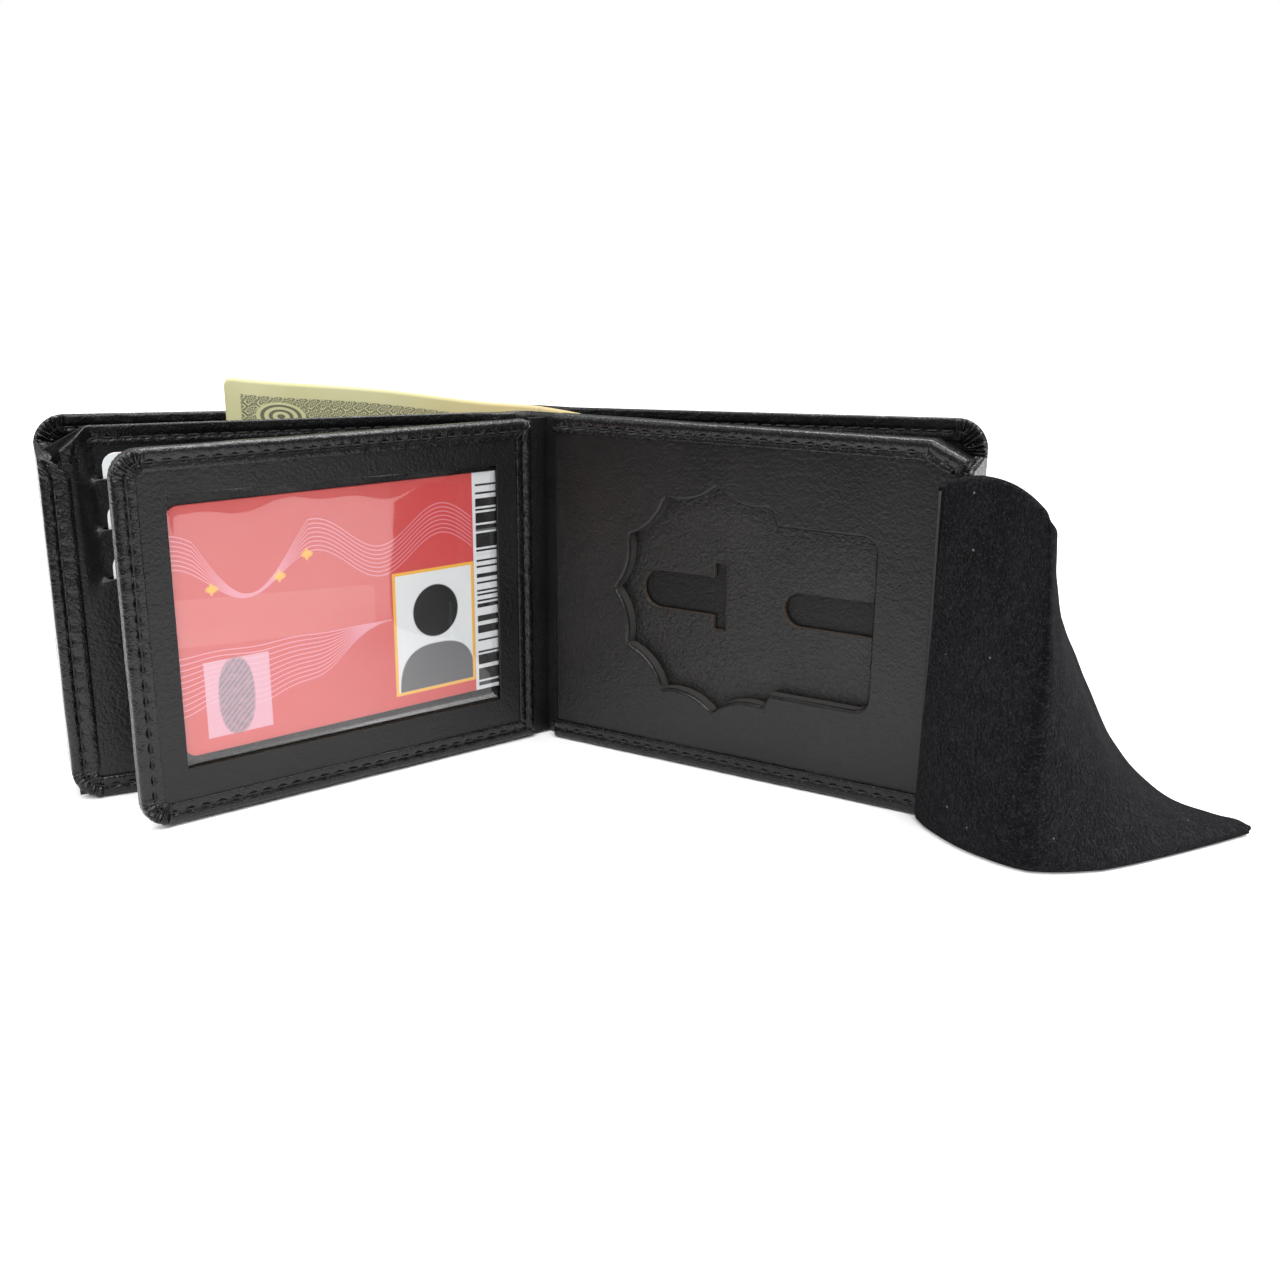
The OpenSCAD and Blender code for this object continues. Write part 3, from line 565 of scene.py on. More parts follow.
def sweep(name, trace, rows, board, finish, relief=None, widen=None, lift=None, closedRows=True):
    insets = np.repeat(rows[:, :1], trace.count, 1)
    depths = np.repeat(rows[:, 1:2], trace.count, 1)
    if widen is not None:
        insets = insets + widen(trace, insets)
    grid = np.zeros((len(rows), trace.count, 3))
    for k in range(len(rows)):
        line = trace.line(insets[k])
        grid[k, :, 0], grid[k, :, 2] = line[:, 0], line[:, 1]
    grid[:, :, 1] = depths
    if lift is not None:
        grid[:, :, 1] += lift(grid, insets, depths)
    alongTrace = np.gradient(grid, axis=1)
    if trace.closed:
        alongTrace[:, 0] = (grid[:, 1] - grid[:, -1]) / 2
        alongTrace[:, -1] = (grid[:, 0] - grid[:, -2]) / 2
    acrossRows = np.gradient(grid, axis=0)
    if closedRows:
        acrossRows[0] = (grid[1] - grid[-1]) / 2
        acrossRows[-1] = (grid[0] - grid[-2]) / 2
    normal = np.cross(alongTrace, acrossRows)
    size = np.linalg.norm(normal, axis=2, keepdims=True)
    front = depths < rows[:, 1].mean()
    fallback = np.zeros_like(grid)
    fallback[..., 1] = np.where(front, -1, 1)
    normal = np.where(size > 1e-9, normal / np.maximum(size, 1e-9), 0)
    if (normal * fallback).sum() < 0:
        normal = -normal
    normal = np.where(size > 1e-9, normal, fallback)
    if relief is not None:
        grid = grid + normal * relief(trace, np.repeat(rows[:, :1], trace.count, 1), depths, grid)[..., None]
    count = trace.count
    if not closedRows:
        return makeObject(name, grid.reshape(-1, 3), ringFaces(len(rows), count), board, finish)
    faces = []
    for k in range(len(rows)):
        a, b = k * count, ((k + 1) % len(rows)) * count
        for i in range(count if trace.closed else count - 1):
            j = (i + 1) % count
            faces.append((a + i, a + j, b + j, b + i))
    if not trace.closed:
        faces.append([k * count for k in range(len(rows))][::-1])
        faces.append([k * count + count - 1 for k in range(len(rows))])
    return makeObject(name, grid.reshape(-1, 3), faces, board, finish)


thread = {"radius": 0.21, "lift": -0.02, "sink": 0.42, "sides": 6, "rings": 7, "gap": 0.12, "slant": 0.07}


def layStitches(name, trace, seam, board, depth, front, begin=1.0, end=1.0, skip=None, lift=None):
    line = trace.line(seam["inset"])
    along = trace.measure(seam["inset"])
    spots, faces = [], []
    rng = random.Random(name)
    sides, rings = thread["sides"], thread["rings"]
    step = seam["pitch"]
    first = math.ceil(begin / step)
    last = math.floor((along[-1] - end) / step)

    def spotAt(place):
        return np.interp(place, along, line[:, 0]), np.interp(place, along, line[:, 1])

    for k in range(first, last):
        low, high = (k + 0.5) * step + thread["gap"], (k + 1.5) * step - thread["gap"]
        if high > along[-1] or (skip and skip(*spotAt(low))):
            continue
        slant = rng.uniform(0.0, thread["slant"])
        base = len(spots)
        heading = np.array(spotAt(high)) - np.array(spotAt(low))
        heading /= max(np.linalg.norm(heading), 1e-6)
        side = np.array([-heading[1], heading[0]])
        for r in range(rings):
            share = r / (rings - 1)
            t, z = spotAt(low + (high - low) * share)
            level = depth if lift is None else depth + lift(t, z)
            arch = 1 - abs(2 * share - 1) ** 3
            radius = thread["radius"] * (0.45 + 0.55 * arch ** 0.5)
            out = thread["lift"] * arch - thread["sink"] * (1 - arch)
            offset = slant * (share - 0.5) * 2
            for s in range(sides):
                a = 2 * math.pi * s / sides
                across = offset + radius * math.cos(a)
                height = out + radius * 0.85 * math.sin(a)
                spots.append((t + side[0] * across, level - front * height, z + side[1] * across))
        faces += ringFaces(rings, sides, base)
    made = makeObject(name, spots, faces, board, "black_thread")
    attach(made, boards[board]["body"])
    return made


def softenNode(name, finish, width, segments):      # a CAD solid keeps its shape and gets worn edges
    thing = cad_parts[name]
    dress(thing.data, finish)
    weld = thing.modifiers.new("weld", "WELD")
    weld.merge_threshold = 1e-6
    flatten = thing.modifiers.new("flatten", "DECIMATE")
    flatten.decimate_type, flatten.angle_limit = "DISSOLVE", math.radians(1.0)
    addBevel(thing, width, segments, "ANGLE").angle_limit = math.radians(40)


def rollEdges(name, node, finish, width, segments): # a CAD solid with only its front edges rolled over
    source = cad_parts[node]
    clean = bmesh.new()
    clean.from_mesh(source.data)
    clean.transform(source.matrix_world)
    bmesh.ops.remove_doubles(clean, verts=clean.verts, dist=1e-6)
    bmesh.ops.dissolve_limit(clean, angle_limit=math.radians(1.0), verts=clean.verts, edges=clean.edges)
    front = min(v.co.y for v in clean.verts)
    weight = clean.edges.layers.float.new("bevel_weight_edge")
    for edge in clean.edges:
        sharp = len(edge.link_faces) == 2 and edge.calc_face_angle() > 0.7
        edge[weight] = float(sharp and all(v.co.y < front + 1e-6 for v in edge.verts))
    mesh = bpy.data.meshes.new(name)
    clean.to_mesh(mesh)
    clean.free()
    dress(mesh, finish)
    made = addObject(name, mesh)
    addBevel(made, width, segments, "WEIGHT").use_clamp_overlap = False
    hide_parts(node)
    return made


# Sizes shared by both halves, and each half's own: lining is where the lining of its cover starts
half = {"foldTop": 88.2, "corner": 7.0, "panelTop": 87.2, "panelIn": 2.0, "cut": 5.0,
        "lining": 0.5, "cover": 1.0, "topHem": 5.0, "topHemThick": 0.4, "lowHem": 5.0, "lip": 0.8,
        "coverIn": 0.6, "band": 9.0}
sides = {"badge": {"width": 111.5, "edgeTop": 91.6, "sideHem": 3.0, "seam": 1.5, "lining": 8.8,
                   "cutLow": (110.4, 83.2), "cutHigh": 101.8, "fall": 7.2, "upperHem": 2.2, "hemEnd": 83.4,
                   "fallFrom": 80.4},
         "cards": {"width": 115.0, "edgeTop": 89.4, "sideHem": 6.5, "seam": 2.9, "lining": 10.3,
                   "cutLow": (110.4, 82.2), "cutHigh": 104.2, "fall": 8.8, "upperHem": 3.0, "hemEnd": 83.4,
                   "fallFrom": 80.4}}
hemTop = half["panelTop"] - half["cut"]


def coverPieces(board, name):
    facts = sides[board]
    depth = facts["lining"] + half["lining"]
    wide, corner = facts["width"], half["corner"]
    start, band = half["coverIn"], half["band"]
    outline = Trace([(start, 0, 0), (wide, 0, corner), (wide, facts["edgeTop"], corner),
                     (start, half["foldTop"], 0)], closed=True, step=0.6)
    rows = section([(band, depth), (0.0, depth, 0.06), (0.0, depth + half["cover"], 0.8),
                    (band, depth + half["cover"])], closed=False)
    outside = dict(seamStyle, inset=3.0)
    pleats = {"width": 1.5, "seed": 2.0, "from": 0.4, "reach": 1.6, "height": 0.16}

    def relief(trace, insets, depths, grid):
        along = trace.measure(outside["inset"])[None, :]
        away = depths > depth + half["cover"] * 0.5
        clear = grid[..., 0] > 3.0                  # no seam along the fold
        return away * clear * (seamRelief(along, insets, outside) + 0.6 * pleatRelief(trace, insets, pleats))

    cover = sweep(name + "Cover", outline, rows, board, "cover_leather", relief, closedRows=False)
    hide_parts(("right" if board == "badge" else "left") + "_cover")
    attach(cover, boards[board]["body"])
    layStitches(name + "CoverStitches", outline, outside, board, depth + half["cover"], -1,
                skip=lambda t, z: t < 3.5)


def topHemPiece(board, name):
    facts = sides[board]
    lining = facts["lining"]
    outline = Trace([(facts["width"], hemTop - 4.0), (facts["width"], facts["edgeTop"], half["corner"]),
                     (half["panelIn"] - 1.2, half["foldTop"] + 0.06)], step=0.4, arcSteps=64)
    wide, front, back = half["topHem"], lining - half["topHemThick"], lining + half["lining"]
    rows = section([(0.75, back - 0.02), (0.75, lining + 0.02), (wide, lining + 0.02), (wide, front, 0.18),
                    (0.0, front, 0.75), (0.0, back, 0.04)], step=0.4)
    pleats = {"width": 1.5, "seed": 1.0 if board == "badge" else 4.0, "from": 1.8, "reach": 3.6,
              "height": 1.25}

    def relief(trace, insets, depths, grid):
        along = trace.measure(seamStyle["inset"])[None, :]
        near = ramp(lining + 0.1 - depths, 0.3)
        tight = 1 - 0.8 * np.convolve(trace.turning, np.hanning(9) / np.hanning(9).sum(), "same")
        return near * (seamRelief(along, insets, seamStyle) * 0.9 * tight
                       + np.maximum(pleatRelief(trace, insets, pleats), -0.25)
                       + 0.07 * ripple(grid, 5.0, 11) + 0.03 * ripple(grid, 1.6, 12))

    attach(sweep(name + "TopHem", outline, rows, board, "edge_leather", relief), boards[board]["body"])
    layStitches(name + "TopHemStitches", outline, seamStyle, board, front, 1, begin=0.5)


def hemPiece(board, name, node):
    facts = sides[board]
    back = facts["lining"] + half["lining"]
    outline = Trace([(half["panelIn"], 0), (facts["width"], 0, half["corner"]),
                     (facts["width"], facts["hemEnd"])], step=0.4, arcSteps=64)
    wide, lip = half["lowHem"], half["lip"]
    rows = section([(0.8, back - 0.02), (0.8, 0.05), (wide, 0.05, 0.02), (wide, -lip, 0.3), (0.0, -lip, 1.2),
                    (0.0, back, 0.05)])
    pleats = {"width": 1.3, "seed": 2.0, "from": 0.8, "reach": 3.6, "height": 0.7}

    def widen(trace, insets):                       # the hem has its own width and seam up the side
        rise = ramp(trace.line(0)[:, 1] - 1.0, 7.0)
        own = np.interp(insets, [0, seamStyle["inset"], wide], [0, facts["seam"], facts["sideHem"]])
        upper = ramp(trace.line(0)[:, 1] - facts["fallFrom"] + 4.0, 4.0)
        own = own * (1 - upper * (1 - facts["upperHem"] / facts["sideHem"]))
        return (own - insets) * rise

    def lift(grid, insets, depths):                 # past the cut corner the hem falls back to the cover
        share = ramp(grid[..., 2] - facts["fallFrom"], facts["hemEnd"] - facts["fallFrom"])
        return facts["fall"] * smooth(share) * np.clip(1 - depths / back, 0, 1)

    def relief(trace, insets, depths, grid):
        along = trace.measure(seamStyle["inset"])[None, :]
        near = ramp(0.1 - depths, 0.4)
        bulge = 0.10 * bell(insets, 1.5, 0.9) + 0.06 * bell(insets, 4.4, 0.6)
        groove = -0.10 * bell(insets, wide - 0.15, 0.25)
        height = trace.line(0)[:, 1]
        gathered = bell(height, hemTop - 1.0, 4.5) * (height > 60)
        wrinkle = np.sin(height * 2.2 + insets * 1.9 + 1.2 * np.sin(insets * 1.1 + height * 0.6))
        bulge = bulge + gathered * (0.95 * np.abs(wrinkle) ** 0.6 - 0.75)
        worn = 0.05 * ripple(grid, 4.5, 21) + 0.02 * ripple(grid, 1.5, 22)
        sewn = seamRelief(along, insets, seamStyle) + bulge + groove + pleatRelief(trace, insets, pleats)
        return near * (sewn + worn) + 0.05 * ripple(grid, 17.0, 23)

    hem = sweep(name + "Hem", outline, rows, board, "edge_leather", relief, widen, lift)
    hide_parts(node)
    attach(hem, boards[board]["body"])
    inset = seamStyle["inset"] + widen(outline, np.full(outline.count, seamStyle["inset"]))
    layStitches(name + "HemStitches", outline, dict(seamStyle, inset=inset), board, -lip, 1, end=8.0)


for board, name, side in (("badge", "Badge", "right"), ("cards", "Card", "left")):
    coverPieces(board, name)
    hemPiece(board, name, side + "_turned_edge")
    topHemPiece(board, name)
    softenNode(side + "_cover_lining", "lining_leather", width=0.1, segments=2)
print("covers and hems made")


# Badge panel: face, board, backing and the roll along its top
badge = {"thick": 5.6, "binding": 4.5, "proud": 0.5}


def topTrace(board, low):
    end, foot = sides[board]["cutLow"]
    return Trace([(end, foot - low), (end, foot, 1.0), (sides[board]["cutHigh"], half["panelTop"], 2.2),
                  (half["panelIn"], half["panelTop"])], step=0.4, arcSteps=12)


def badgeRoll():
    outline = topTrace("badge", low=3.0)
    rows = section([(1.6, badge["thick"] + 0.02), (1.6, 0.05), (badge["binding"], 0.05, 0.02),
                    (badge["binding"], -badge["proud"], 0.22), (0.0, -badge["proud"], 1.1),
                    (0.0, badge["thick"] + 0.05, 1.0)], step=0.4)
    seam = dict(seamStyle, pitch=4.0, hole=0.42)

    def relief(trace, insets, depths, grid):
        along = trace.measure(seam["inset"])[None, :]
        near = ramp(0.1 - depths, 0.3)
        ridge = -0.16 * bell(depths, 1.5, 0.28) * (insets < 1.2)
        bulge = 0.10 * bell(insets, 1.5, 0.8) + 0.05 * bell(insets, 4.0, 0.5)
        turnPleats = pleatRelief(trace, insets, {"width": 1.6, "seed": 5.0, "from": 0.8, "reach": 2.4,
                                                 "height": 0.3})
        return near * (seamRelief(along, insets, seam) + bulge + turnPleats + 0.04 * ripple(grid, 4.0, 31)
                       + 0.02 * ripple(grid, 1.4, 32)) + ridge + 0.06 * ripple(grid, 19.0, 33)

    roll = sweep("BadgeTopRoll", outline, rows, "badge", "edge_leather", relief)
    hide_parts("badge_top_binding")
    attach(roll, "right_half")
    stitches = layStitches("BadgeTopStitches", outline, seam, "badge", -badge["proud"], 1, begin=6.0)
    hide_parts("right_seam_thread")


badgeRoll()
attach(rollEdges("BadgeFace", "badge_face", "panel_leather", width=0.85, segments=6), "right_half")
softenNode("badge_board", "dark_board", width=0.08, segments=1)
softenNode("badge_backing", "backing_leather", width=0.3, segments=3)
softenNode("badge_inner_wall", "lining_leather", width=0.1, segments=2)
print("badge panel made")


# Left half: one sheet with three slits, over cards that step back from the bottom one
pockets = {"slits": (52.4, 63.8, 75.2), "steps": (1.4, 1.4, 1.7), "from": 14.3, "to": 103.1, "thick": 0.4,
           "lip": 0.04, "inner": 2.0, "outer": 113.6, "foot": 1.2, "top": 86.4, "easeFrom": 90.0}
# where the sheet ends at heights up its cut corner
cutCorner = {"heights": (76.5, 80.0, 82.0, 86.6), "ends": (113.6, 110.3, 109.9, 104.0)}


def sheetStep(t, z, level=None):                    # depth of the sheet; level picks the side of a slit
    first, last = pockets["from"], pockets["to"]
    past = np.maximum(t - last, first - t)
    fade = 1 - smooth(np.clip(ramp(t - last, 4.6) + ramp(first - t, 9.0), 0, 1))
    total = 0.0
    for k, slit in enumerate(pockets["slits"]):
        if level is not None and level[0] == k:
            up = float(level[1])
            soft = ramp(past, 3.0)
            up = up * (1 - soft) + 0.5 * soft
        else:
            soft = 0.15 + 2.0 * np.clip(past, 0, 2.6)
            up = smooth(np.clip((z - slit) / (2 * soft) + 0.5, 0, 1))
        total = total + pockets["steps"][k] * up
    return total * fade


def cardSheet():
    first, last, outer = pockets["from"], pockets["to"], pockets["outer"]
    columns = np.unique(np.concatenate([np.arange(pockets["inner"], first, 0.8), np.arange(first, last, 1.2),
                                        [last], np.arange(last + 0.5, outer, 0.45), [outer]]))
    rowsZ = []
    z = pockets["foot"]
    for k, slit in enumerate(pockets["slits"]):
        rowsZ += [(v, None) for v in np.arange(z, slit - 0.35, 0.9)] + [(slit - 0.3, None), (slit, (k, 0)),
                                                                        (slit, (k, 1)), (slit + 0.3, None)]
        z = slit + 1.0
    rowsZ += [(v, None) for v in np.arange(z, pockets["top"], 0.9)] + [(pockets["top"], None)]
    spots, index = [], {}
    for r, (z, level) in enumerate(rowsZ):
        cut = float(np.interp(z, cutCorner["heights"], cutCorner["ends"]))
        for c, column in enumerate(columns):
            t = column - np.interp(column, [pockets["easeFrom"], outer], [0.0, 1.0]) * max(0.0, outer - cut)
            slitRow = level is not None
            within = first < t < last
            if slitRow and level[1] == 1 and not within:
                index[r, c] = index[r - 1, c]
                continue
            depth = float(sheetStep(t, z, level if within else None))
            nudge = 0.0
            if slitRow and within:
                edge = min(1.0, min(t - first, last - t) / 2.0)
                nudge = 0.09 * edge * (-1 if level[1] == 0 else 1)
                depth += (-pockets["lip"] if level[1] == 0 else 0.05) * edge
            index[r, c] = len(spots)
            spots.append((t, depth, z + nudge))
    faces = []
    for r in range(len(rowsZ) - 1):
        gap = rowsZ[r][1] is not None and rowsZ[r + 1][1] is not None
        for c in range(len(columns) - 1):
            quad = [index[r, c], index[r, c + 1], index[r + 1, c + 1], index[r + 1, c]]
            if len(set(quad)) < 3 or gap:
                continue
            faces.append(quad)
    spots = np.array(spots)
    spots[:, 1] += 0.045 * ripple(spots, 24.0, 41) + 0.02 * ripple(spots, 9.0, 42)
    made = makeObject("CardSheet", spots, faces, "cards", "panel_leather")
    thick = made.modifiers.new("thickness", "SOLIDIFY")
    thick.thickness = pockets["thick"] * mm
    normal = made.data.polygons[0].normal
    facing = toFrame("cards", [(0, -1, 0)])[0] - toFrame("cards", [(0, 0, 0)])[0]
    thick.offset = -1.0 if normal.dot(Vector(facing)) > 0 else 1.0
    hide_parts("card_pocket_top", "card_pocket_middle", "card_pocket_bottom")
    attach(made, "left_half")


cardBinding = {"wide": 4.5, "front": 4.27, "under": 4.72, "back": 5.12, "sheet": 4.5, "height": 86.0}


def cardRoll():
    outline = topTrace("cards", low=3.0)
    wide, front, under, back = (cardBinding[key] for key in ("wide", "front", "under", "back"))
    rows = section([(1.4, back), (1.4, under), (wide, under, 0.02), (wide, front, 0.2), (0.0, front, 0.5),
                    (0.0, back + 0.02, 0.25)], step=0.4)

    def fall(t):                                    # from the sheet's deepest part to its depth at t
        return sheetStep(t, np.full(np.shape(t), cardBinding["height"])) - cardBinding["sheet"]

    def lift(grid, insets, depths):
        return ramp(5.1 - depths, 0.6) * fall(grid[..., 0])

    def relief(trace, insets, depths, grid):
        along = trace.measure(seamStyle["inset"])[None, :]
        near = (insets > 0.5) * (depths < 4.6)
        bulge = 0.05 * bell(insets, 1.5, 0.8)
        return near * (seamRelief(along, insets, dict(seamStyle, puff=0.0)) * 0.9 + bulge
                       + 0.03 * ripple(grid, 4.0, 51) + 0.015 * ripple(grid, 1.5, 52))

    roll = sweep("CardTopRoll", outline, rows, "cards", "edge_leather", relief, lift=lift)
    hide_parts("left_top_binding")
    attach(roll, "left_half")
    stitches = layStitches("CardTopStitches", outline, seamStyle, "cards", front, 1, begin=3.0,
                           lift=lambda t, z: float(fall(t)))
    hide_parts("left_seam_thread")


cardSheet()
cardRoll()
softenNode("left_inner_wall", "panel_leather", width=0.1, segments=2)
for name in ("card_top", "card_middle", "card_bottom"):
    softenNode(name, "white_card", width=0.14, segments=3)
print("card pockets made")


# Card leaf
leaf = {"long": 106.0, "foot": 0.4, "top": 86.0, "drop": 1.1, "corner": 6.5, "thick": 2.9, "lip": 0.4,
        "hem": 5.0, "windowIn": 11.0, "windowLow": 12.7, "windowHigh": 74.8}


def leafRim():
    far, foot, top, corner = leaf["long"], leaf["foot"], leaf["top"], leaf["corner"]
    outline = Trace([(0, foot, 0.8), (far, foot, corner), (far, top - leaf["drop"], corner), (0, top, 2.6)],
                    closed=True, step=0.4, arcSteps=64)
    wide, front, back = leaf["hem"], -leaf["lip"], leaf["thick"] + 0.03
    rows = section([(0.7, back, 0.05), (0.7, 0.1), (wide, 0.1, 0.02), (wide, front, 0.2), (0.0, front, 1.15),
                    (0.0, back, 0.8)], step=0.38)
    pleats = {"width": 1.25, "seed": 7.0, "from": 1.4, "reach": 3.4, "height": 0.85}

    def relief(trace, insets, depths, grid):
        along = trace.measure(seamStyle["inset"])[None, :]
        near = ramp(0.1 - depths, 0.3)
        bulge = 0.10 * bell(insets, 1.5, 0.8) + 0.05 * bell(insets, 4.4, 0.5)
        rim = ramp(1.6 - insets, 1.0)
        worn = 0.05 * ripple(grid, 4.0, 61) + 0.025 * ripple(grid, 1.5, 62)
        sewn = seamRelief(along, insets, seamStyle) + bulge + pleatRelief(trace, insets, pleats)
        turned = rim * 0.5 * pleatRelief(trace, insets, dict(pleats, height=0.3))
        return near * (sewn + worn) + turned + 0.05 * ripple(grid, 17.0, 63)

    rim = sweep("LeafRim", outline, rows, "leaf", "edge_leather", relief)
    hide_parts("leaf_turned_edge")
    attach(rim, "spine")
    stitches = layStitches("LeafStitches", outline, seamStyle, "leaf", front, 1, begin=0.5, end=0.5)
    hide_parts("leaf_seam_thread")
    layStitches("LeafBackStitches", outline, seamStyle, "leaf", leaf["thick"], -1, begin=0.5, end=0.5)


film = {"lap": 2.0, "behind": 0.9, "proud": 0.5, "thick": 0.15, "across": 110, "up": 130}


def leafWindow():
    low, high = leaf["windowIn"] - film["lap"], leaf["long"] - leaf["windowIn"] + film["lap"]
    foot, top = leaf["windowLow"] - film["lap"], leaf["windowHigh"] + film["lap"]
    across, up = film["across"], film["up"]
    spots, faces = [], []
    for j in range(up + 1):
        for i in range(across + 1):
            spots.append((low + (high - low) * i / across, film["behind"], foot + (top - foot) * j / up))
    for j in range(up):
        for i in range(across):
            a = j * (across + 1) + i
            faces.append((a, a + 1, a + across + 2, a + across + 1))
    spots = np.array(spots)
    t, z = spots[:, 0], spots[:, 2]
    lean = 4.4 + 1.1 * np.sin(t / 6.1 + 0.6) + 0.7 * np.sin(t / 2.9)      # a wavy fall along the upper edge
    edge = np.minimum.reduce([(t - leaf["windowIn"]) / 2, (leaf["long"] - leaf["windowIn"] - t) / 2,
                              (z - leaf["windowLow"]) / 2, (leaf["windowHigh"] - z) / lean])
    edge = np.clip(edge, 0, 1)
    spots[:, 1] += edge * (-film["proud"] + 0.05 * ripple(spots, 46.0, 71))
    made = makeObject("LeafWindow", spots, faces, "leaf", "clear_vinyl")
    thick = made.modifiers.new("thickness", "SOLIDIFY")
    thick.thickness, thick.offset = film["thick"] * mm, 0.0
    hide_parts("leaf_window")
    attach(made, "spine")


idCard = {"wide": 88.9, "high": 57.15, "round": 3.2, "thick": 0.76, "tilt": 0.9, "corner": (95.2, 14.9),
          "depth": 1.22, "printFrom": 5.1, "band": 6.0, "edge": 0.16}


def identityCard():
    outline = Trace([(0, 0, idCard["round"]), (idCard["wide"], 0, idCard["round"]),
                     (idCard["wide"], idCard["high"], idCard["round"]), (0, idCard["high"], idCard["round"])],
                    closed=True, step=1.0, arcSteps=10)
    thick = idCard["thick"]
    band, edge = idCard["band"], idCard["edge"]
    rows = section([(band, 0.0), (0.0, 0.0, edge), (0.0, thick, edge), (band, thick)], step=1.2, closed=False)
    tilt = math.radians(-idCard["tilt"])
    lines = [outline.line(inset) for inset in rows[:, 0]]
    shift = idCard["corner"][0] - idCard["wide"] - idCard["printFrom"]
    flat = np.array([(t + shift, z, 0.0) for line in lines for t, z in line])
    spots = []
    for k, line in enumerate(lines):
        for t, z in line:
            back = idCard["wide"] - t               # from the card's own corner, which is its outer one
            spots.append((idCard["corner"][0] - back * math.cos(tilt), idCard["depth"] + rows[k, 1],
                          idCard["corner"][1] - back * math.sin(tilt) + z * math.cos(tilt)))
    faces = ringFaces(len(rows), outline.count)
    card = makeObject("IdentityCard", spots, faces, "leaf", "id_card_print", flat)
    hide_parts("id_card")
    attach(card, "id_card_body")


leafRim()
leafWindow()
identityCard()
softenNode("leaf_front_frame", "panel_leather", width=0.2, segments=3)
softenNode("leaf_back", "panel_leather", width=0.1, segments=2)
softenNode("leaf_pocket_spacer", "backing_leather", width=0.08, segments=1)
softenNode("leaf_hinge_strip", "panel_leather", width=0.12, segments=2)
print("card leaf made")


# Fold: leather that bends between the two halves and the leaf
spine = {"x": -6.81, "y": -1.518, "sweep": 57.86, "strip": (4.218, 5.118), "stripFoot": 0.3}


def arcStrip(name, node, radii, heights, finish, tabs, lap, paper=False):
    inner, outer = radii
    straightRight = tabs[0] - spine["x"]
    sweepAngle = math.radians(spine["sweep"])
    arcLength = sweepAngle * (outer + inner) / 2

    def spotAt(s, radius):                          # s is length along the strip from the right tab's end
        if s < straightRight:
            return (tabs[0] - s, spine["y"] + radius)
        s -= straightRight
        if s < arcLength:
            a = math.pi / 2 + sweepAngle * s / arcLength
            return (spine["x"] + radius * math.cos(a), spine["y"] + radius * math.sin(a))
        s -= arcLength
        a = math.pi / 2 + sweepAngle
        return (spine["x"] + radius * math.cos(a) - s * math.sin(a),
                spine["y"] + radius * math.sin(a) + s * math.cos(a))

    total = straightRight + arcLength + tabs[1]
    middle = straightRight + arcLength * 0.15
    made = []
    for part, (low, high) in enumerate(((0.0, middle + 0.02), (middle - 0.02, total))):
        steps = max(8, int((high - low) / (0.6 if paper else 0.5)))
        up = 64
        grid = []
        for i in range(steps + 1):
            s = low + (high - low) * i / steps
            for side in (0, 1):
                for j in range(up + 1):
                    foot, top = heights(s, total, straightRight, arcLength)
                    z = foot + (top - foot) * j / up
                    end = min(1.0, min(s, total - s) / lap) if lap else 1.0
                    radius = inner + (outer - inner) * side
                    radius += (0.06 if side == 0 else -0.06) * (1 - end)
                    if not paper:                   # rounded upper and lower edges
                        edge = min(z - foot, top - z)
                        soft = min(0.35, (outer - inner) / 2.2)
                        if edge < soft:
                            shrink = soft - math.sqrt(max(0.0, soft ** 2 - (soft - edge) ** 2))
                            radius += shrink if side == 0 else -shrink
                    grid.append((*spotAt(s, radius), z, s))
        across = 2 * (up + 1)
        faces = []
        for i in range(steps):
            for j in range(up):
                a, b = i * across + j, (i + 1) * across + j
                faces.append((a, b, b + 1, a + 1))
                a, b = a + up + 1, b + up + 1
                faces.append((a, a + 1, b + 1, b))
            a, b = i * across, (i + 1) * across
            faces.append((a, a + up + 1, b + up + 1, b))
            a, b = a + up, b + up
            faces.append((a, b, b + up + 1, a + up + 1))
        for i in (0, steps):
            for j in range(up):
                a = i * across + j
                faces.append((a, a + 1, a + up + 2, a + up + 1))
        grid = np.array(grid)
        flat = np.stack([total - grid[:, 3], grid[:, 2], np.zeros(len(grid))], 1)
        if paper:
            flat[:, 1] = [z - heights(s, total, straightRight, arcLength)[0] for z, s in grid[:, 2:4]]
        piece = makeObject(name + ("Right" if part == 0 else "Left"), grid[:, :3], faces, None, finish, flat)
        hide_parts(node)
        if part == 0:
            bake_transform(piece)
        else:
            a = math.pi / 2 + sweepAngle
            mid = spotAt(middle, outer)
            end = (spine["x"] + outer * math.cos(a), spine["y"] + outer * math.sin(a))
            mid[0] * mm
            mid[1] * mm
            end[0] * mm
            end[1] * mm
            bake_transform(piece)
        made.append(piece)
    return made


def levels(low, high):
    return lambda s, total, right, arc: (low, high)


coverDepth = sides["badge"]["lining"] + half["lining"] - spine["y"]
arcStrip("SpineCover", "spine_cover", (coverDepth, coverDepth + half["cover"]), levels(0.0, half["foldTop"]),
         "cover_leather", tabs=(1.6, 1.6), lap=0.8)
arcStrip("SpineLining", "spine_lining", (coverDepth - half["lining"], coverDepth),
         levels(0.4, half["foldTop"] - 0.8), "lining_leather", tabs=(1.2, 1.2), lap=0.8)
arcStrip("InnerSpine", "inner_spine_strip", spine["strip"], levels(spine["stripFoot"], half["panelTop"]),
         "panel_leather", tabs=(2.4, 2.4), lap=0.8)

note = {"fold": 88.4, "high": 66.3, "tilt": 6.6, "left": 72.4, "right": 66.6, "thick": 0.2, "depth": 8.28,
        "round": 1.8}


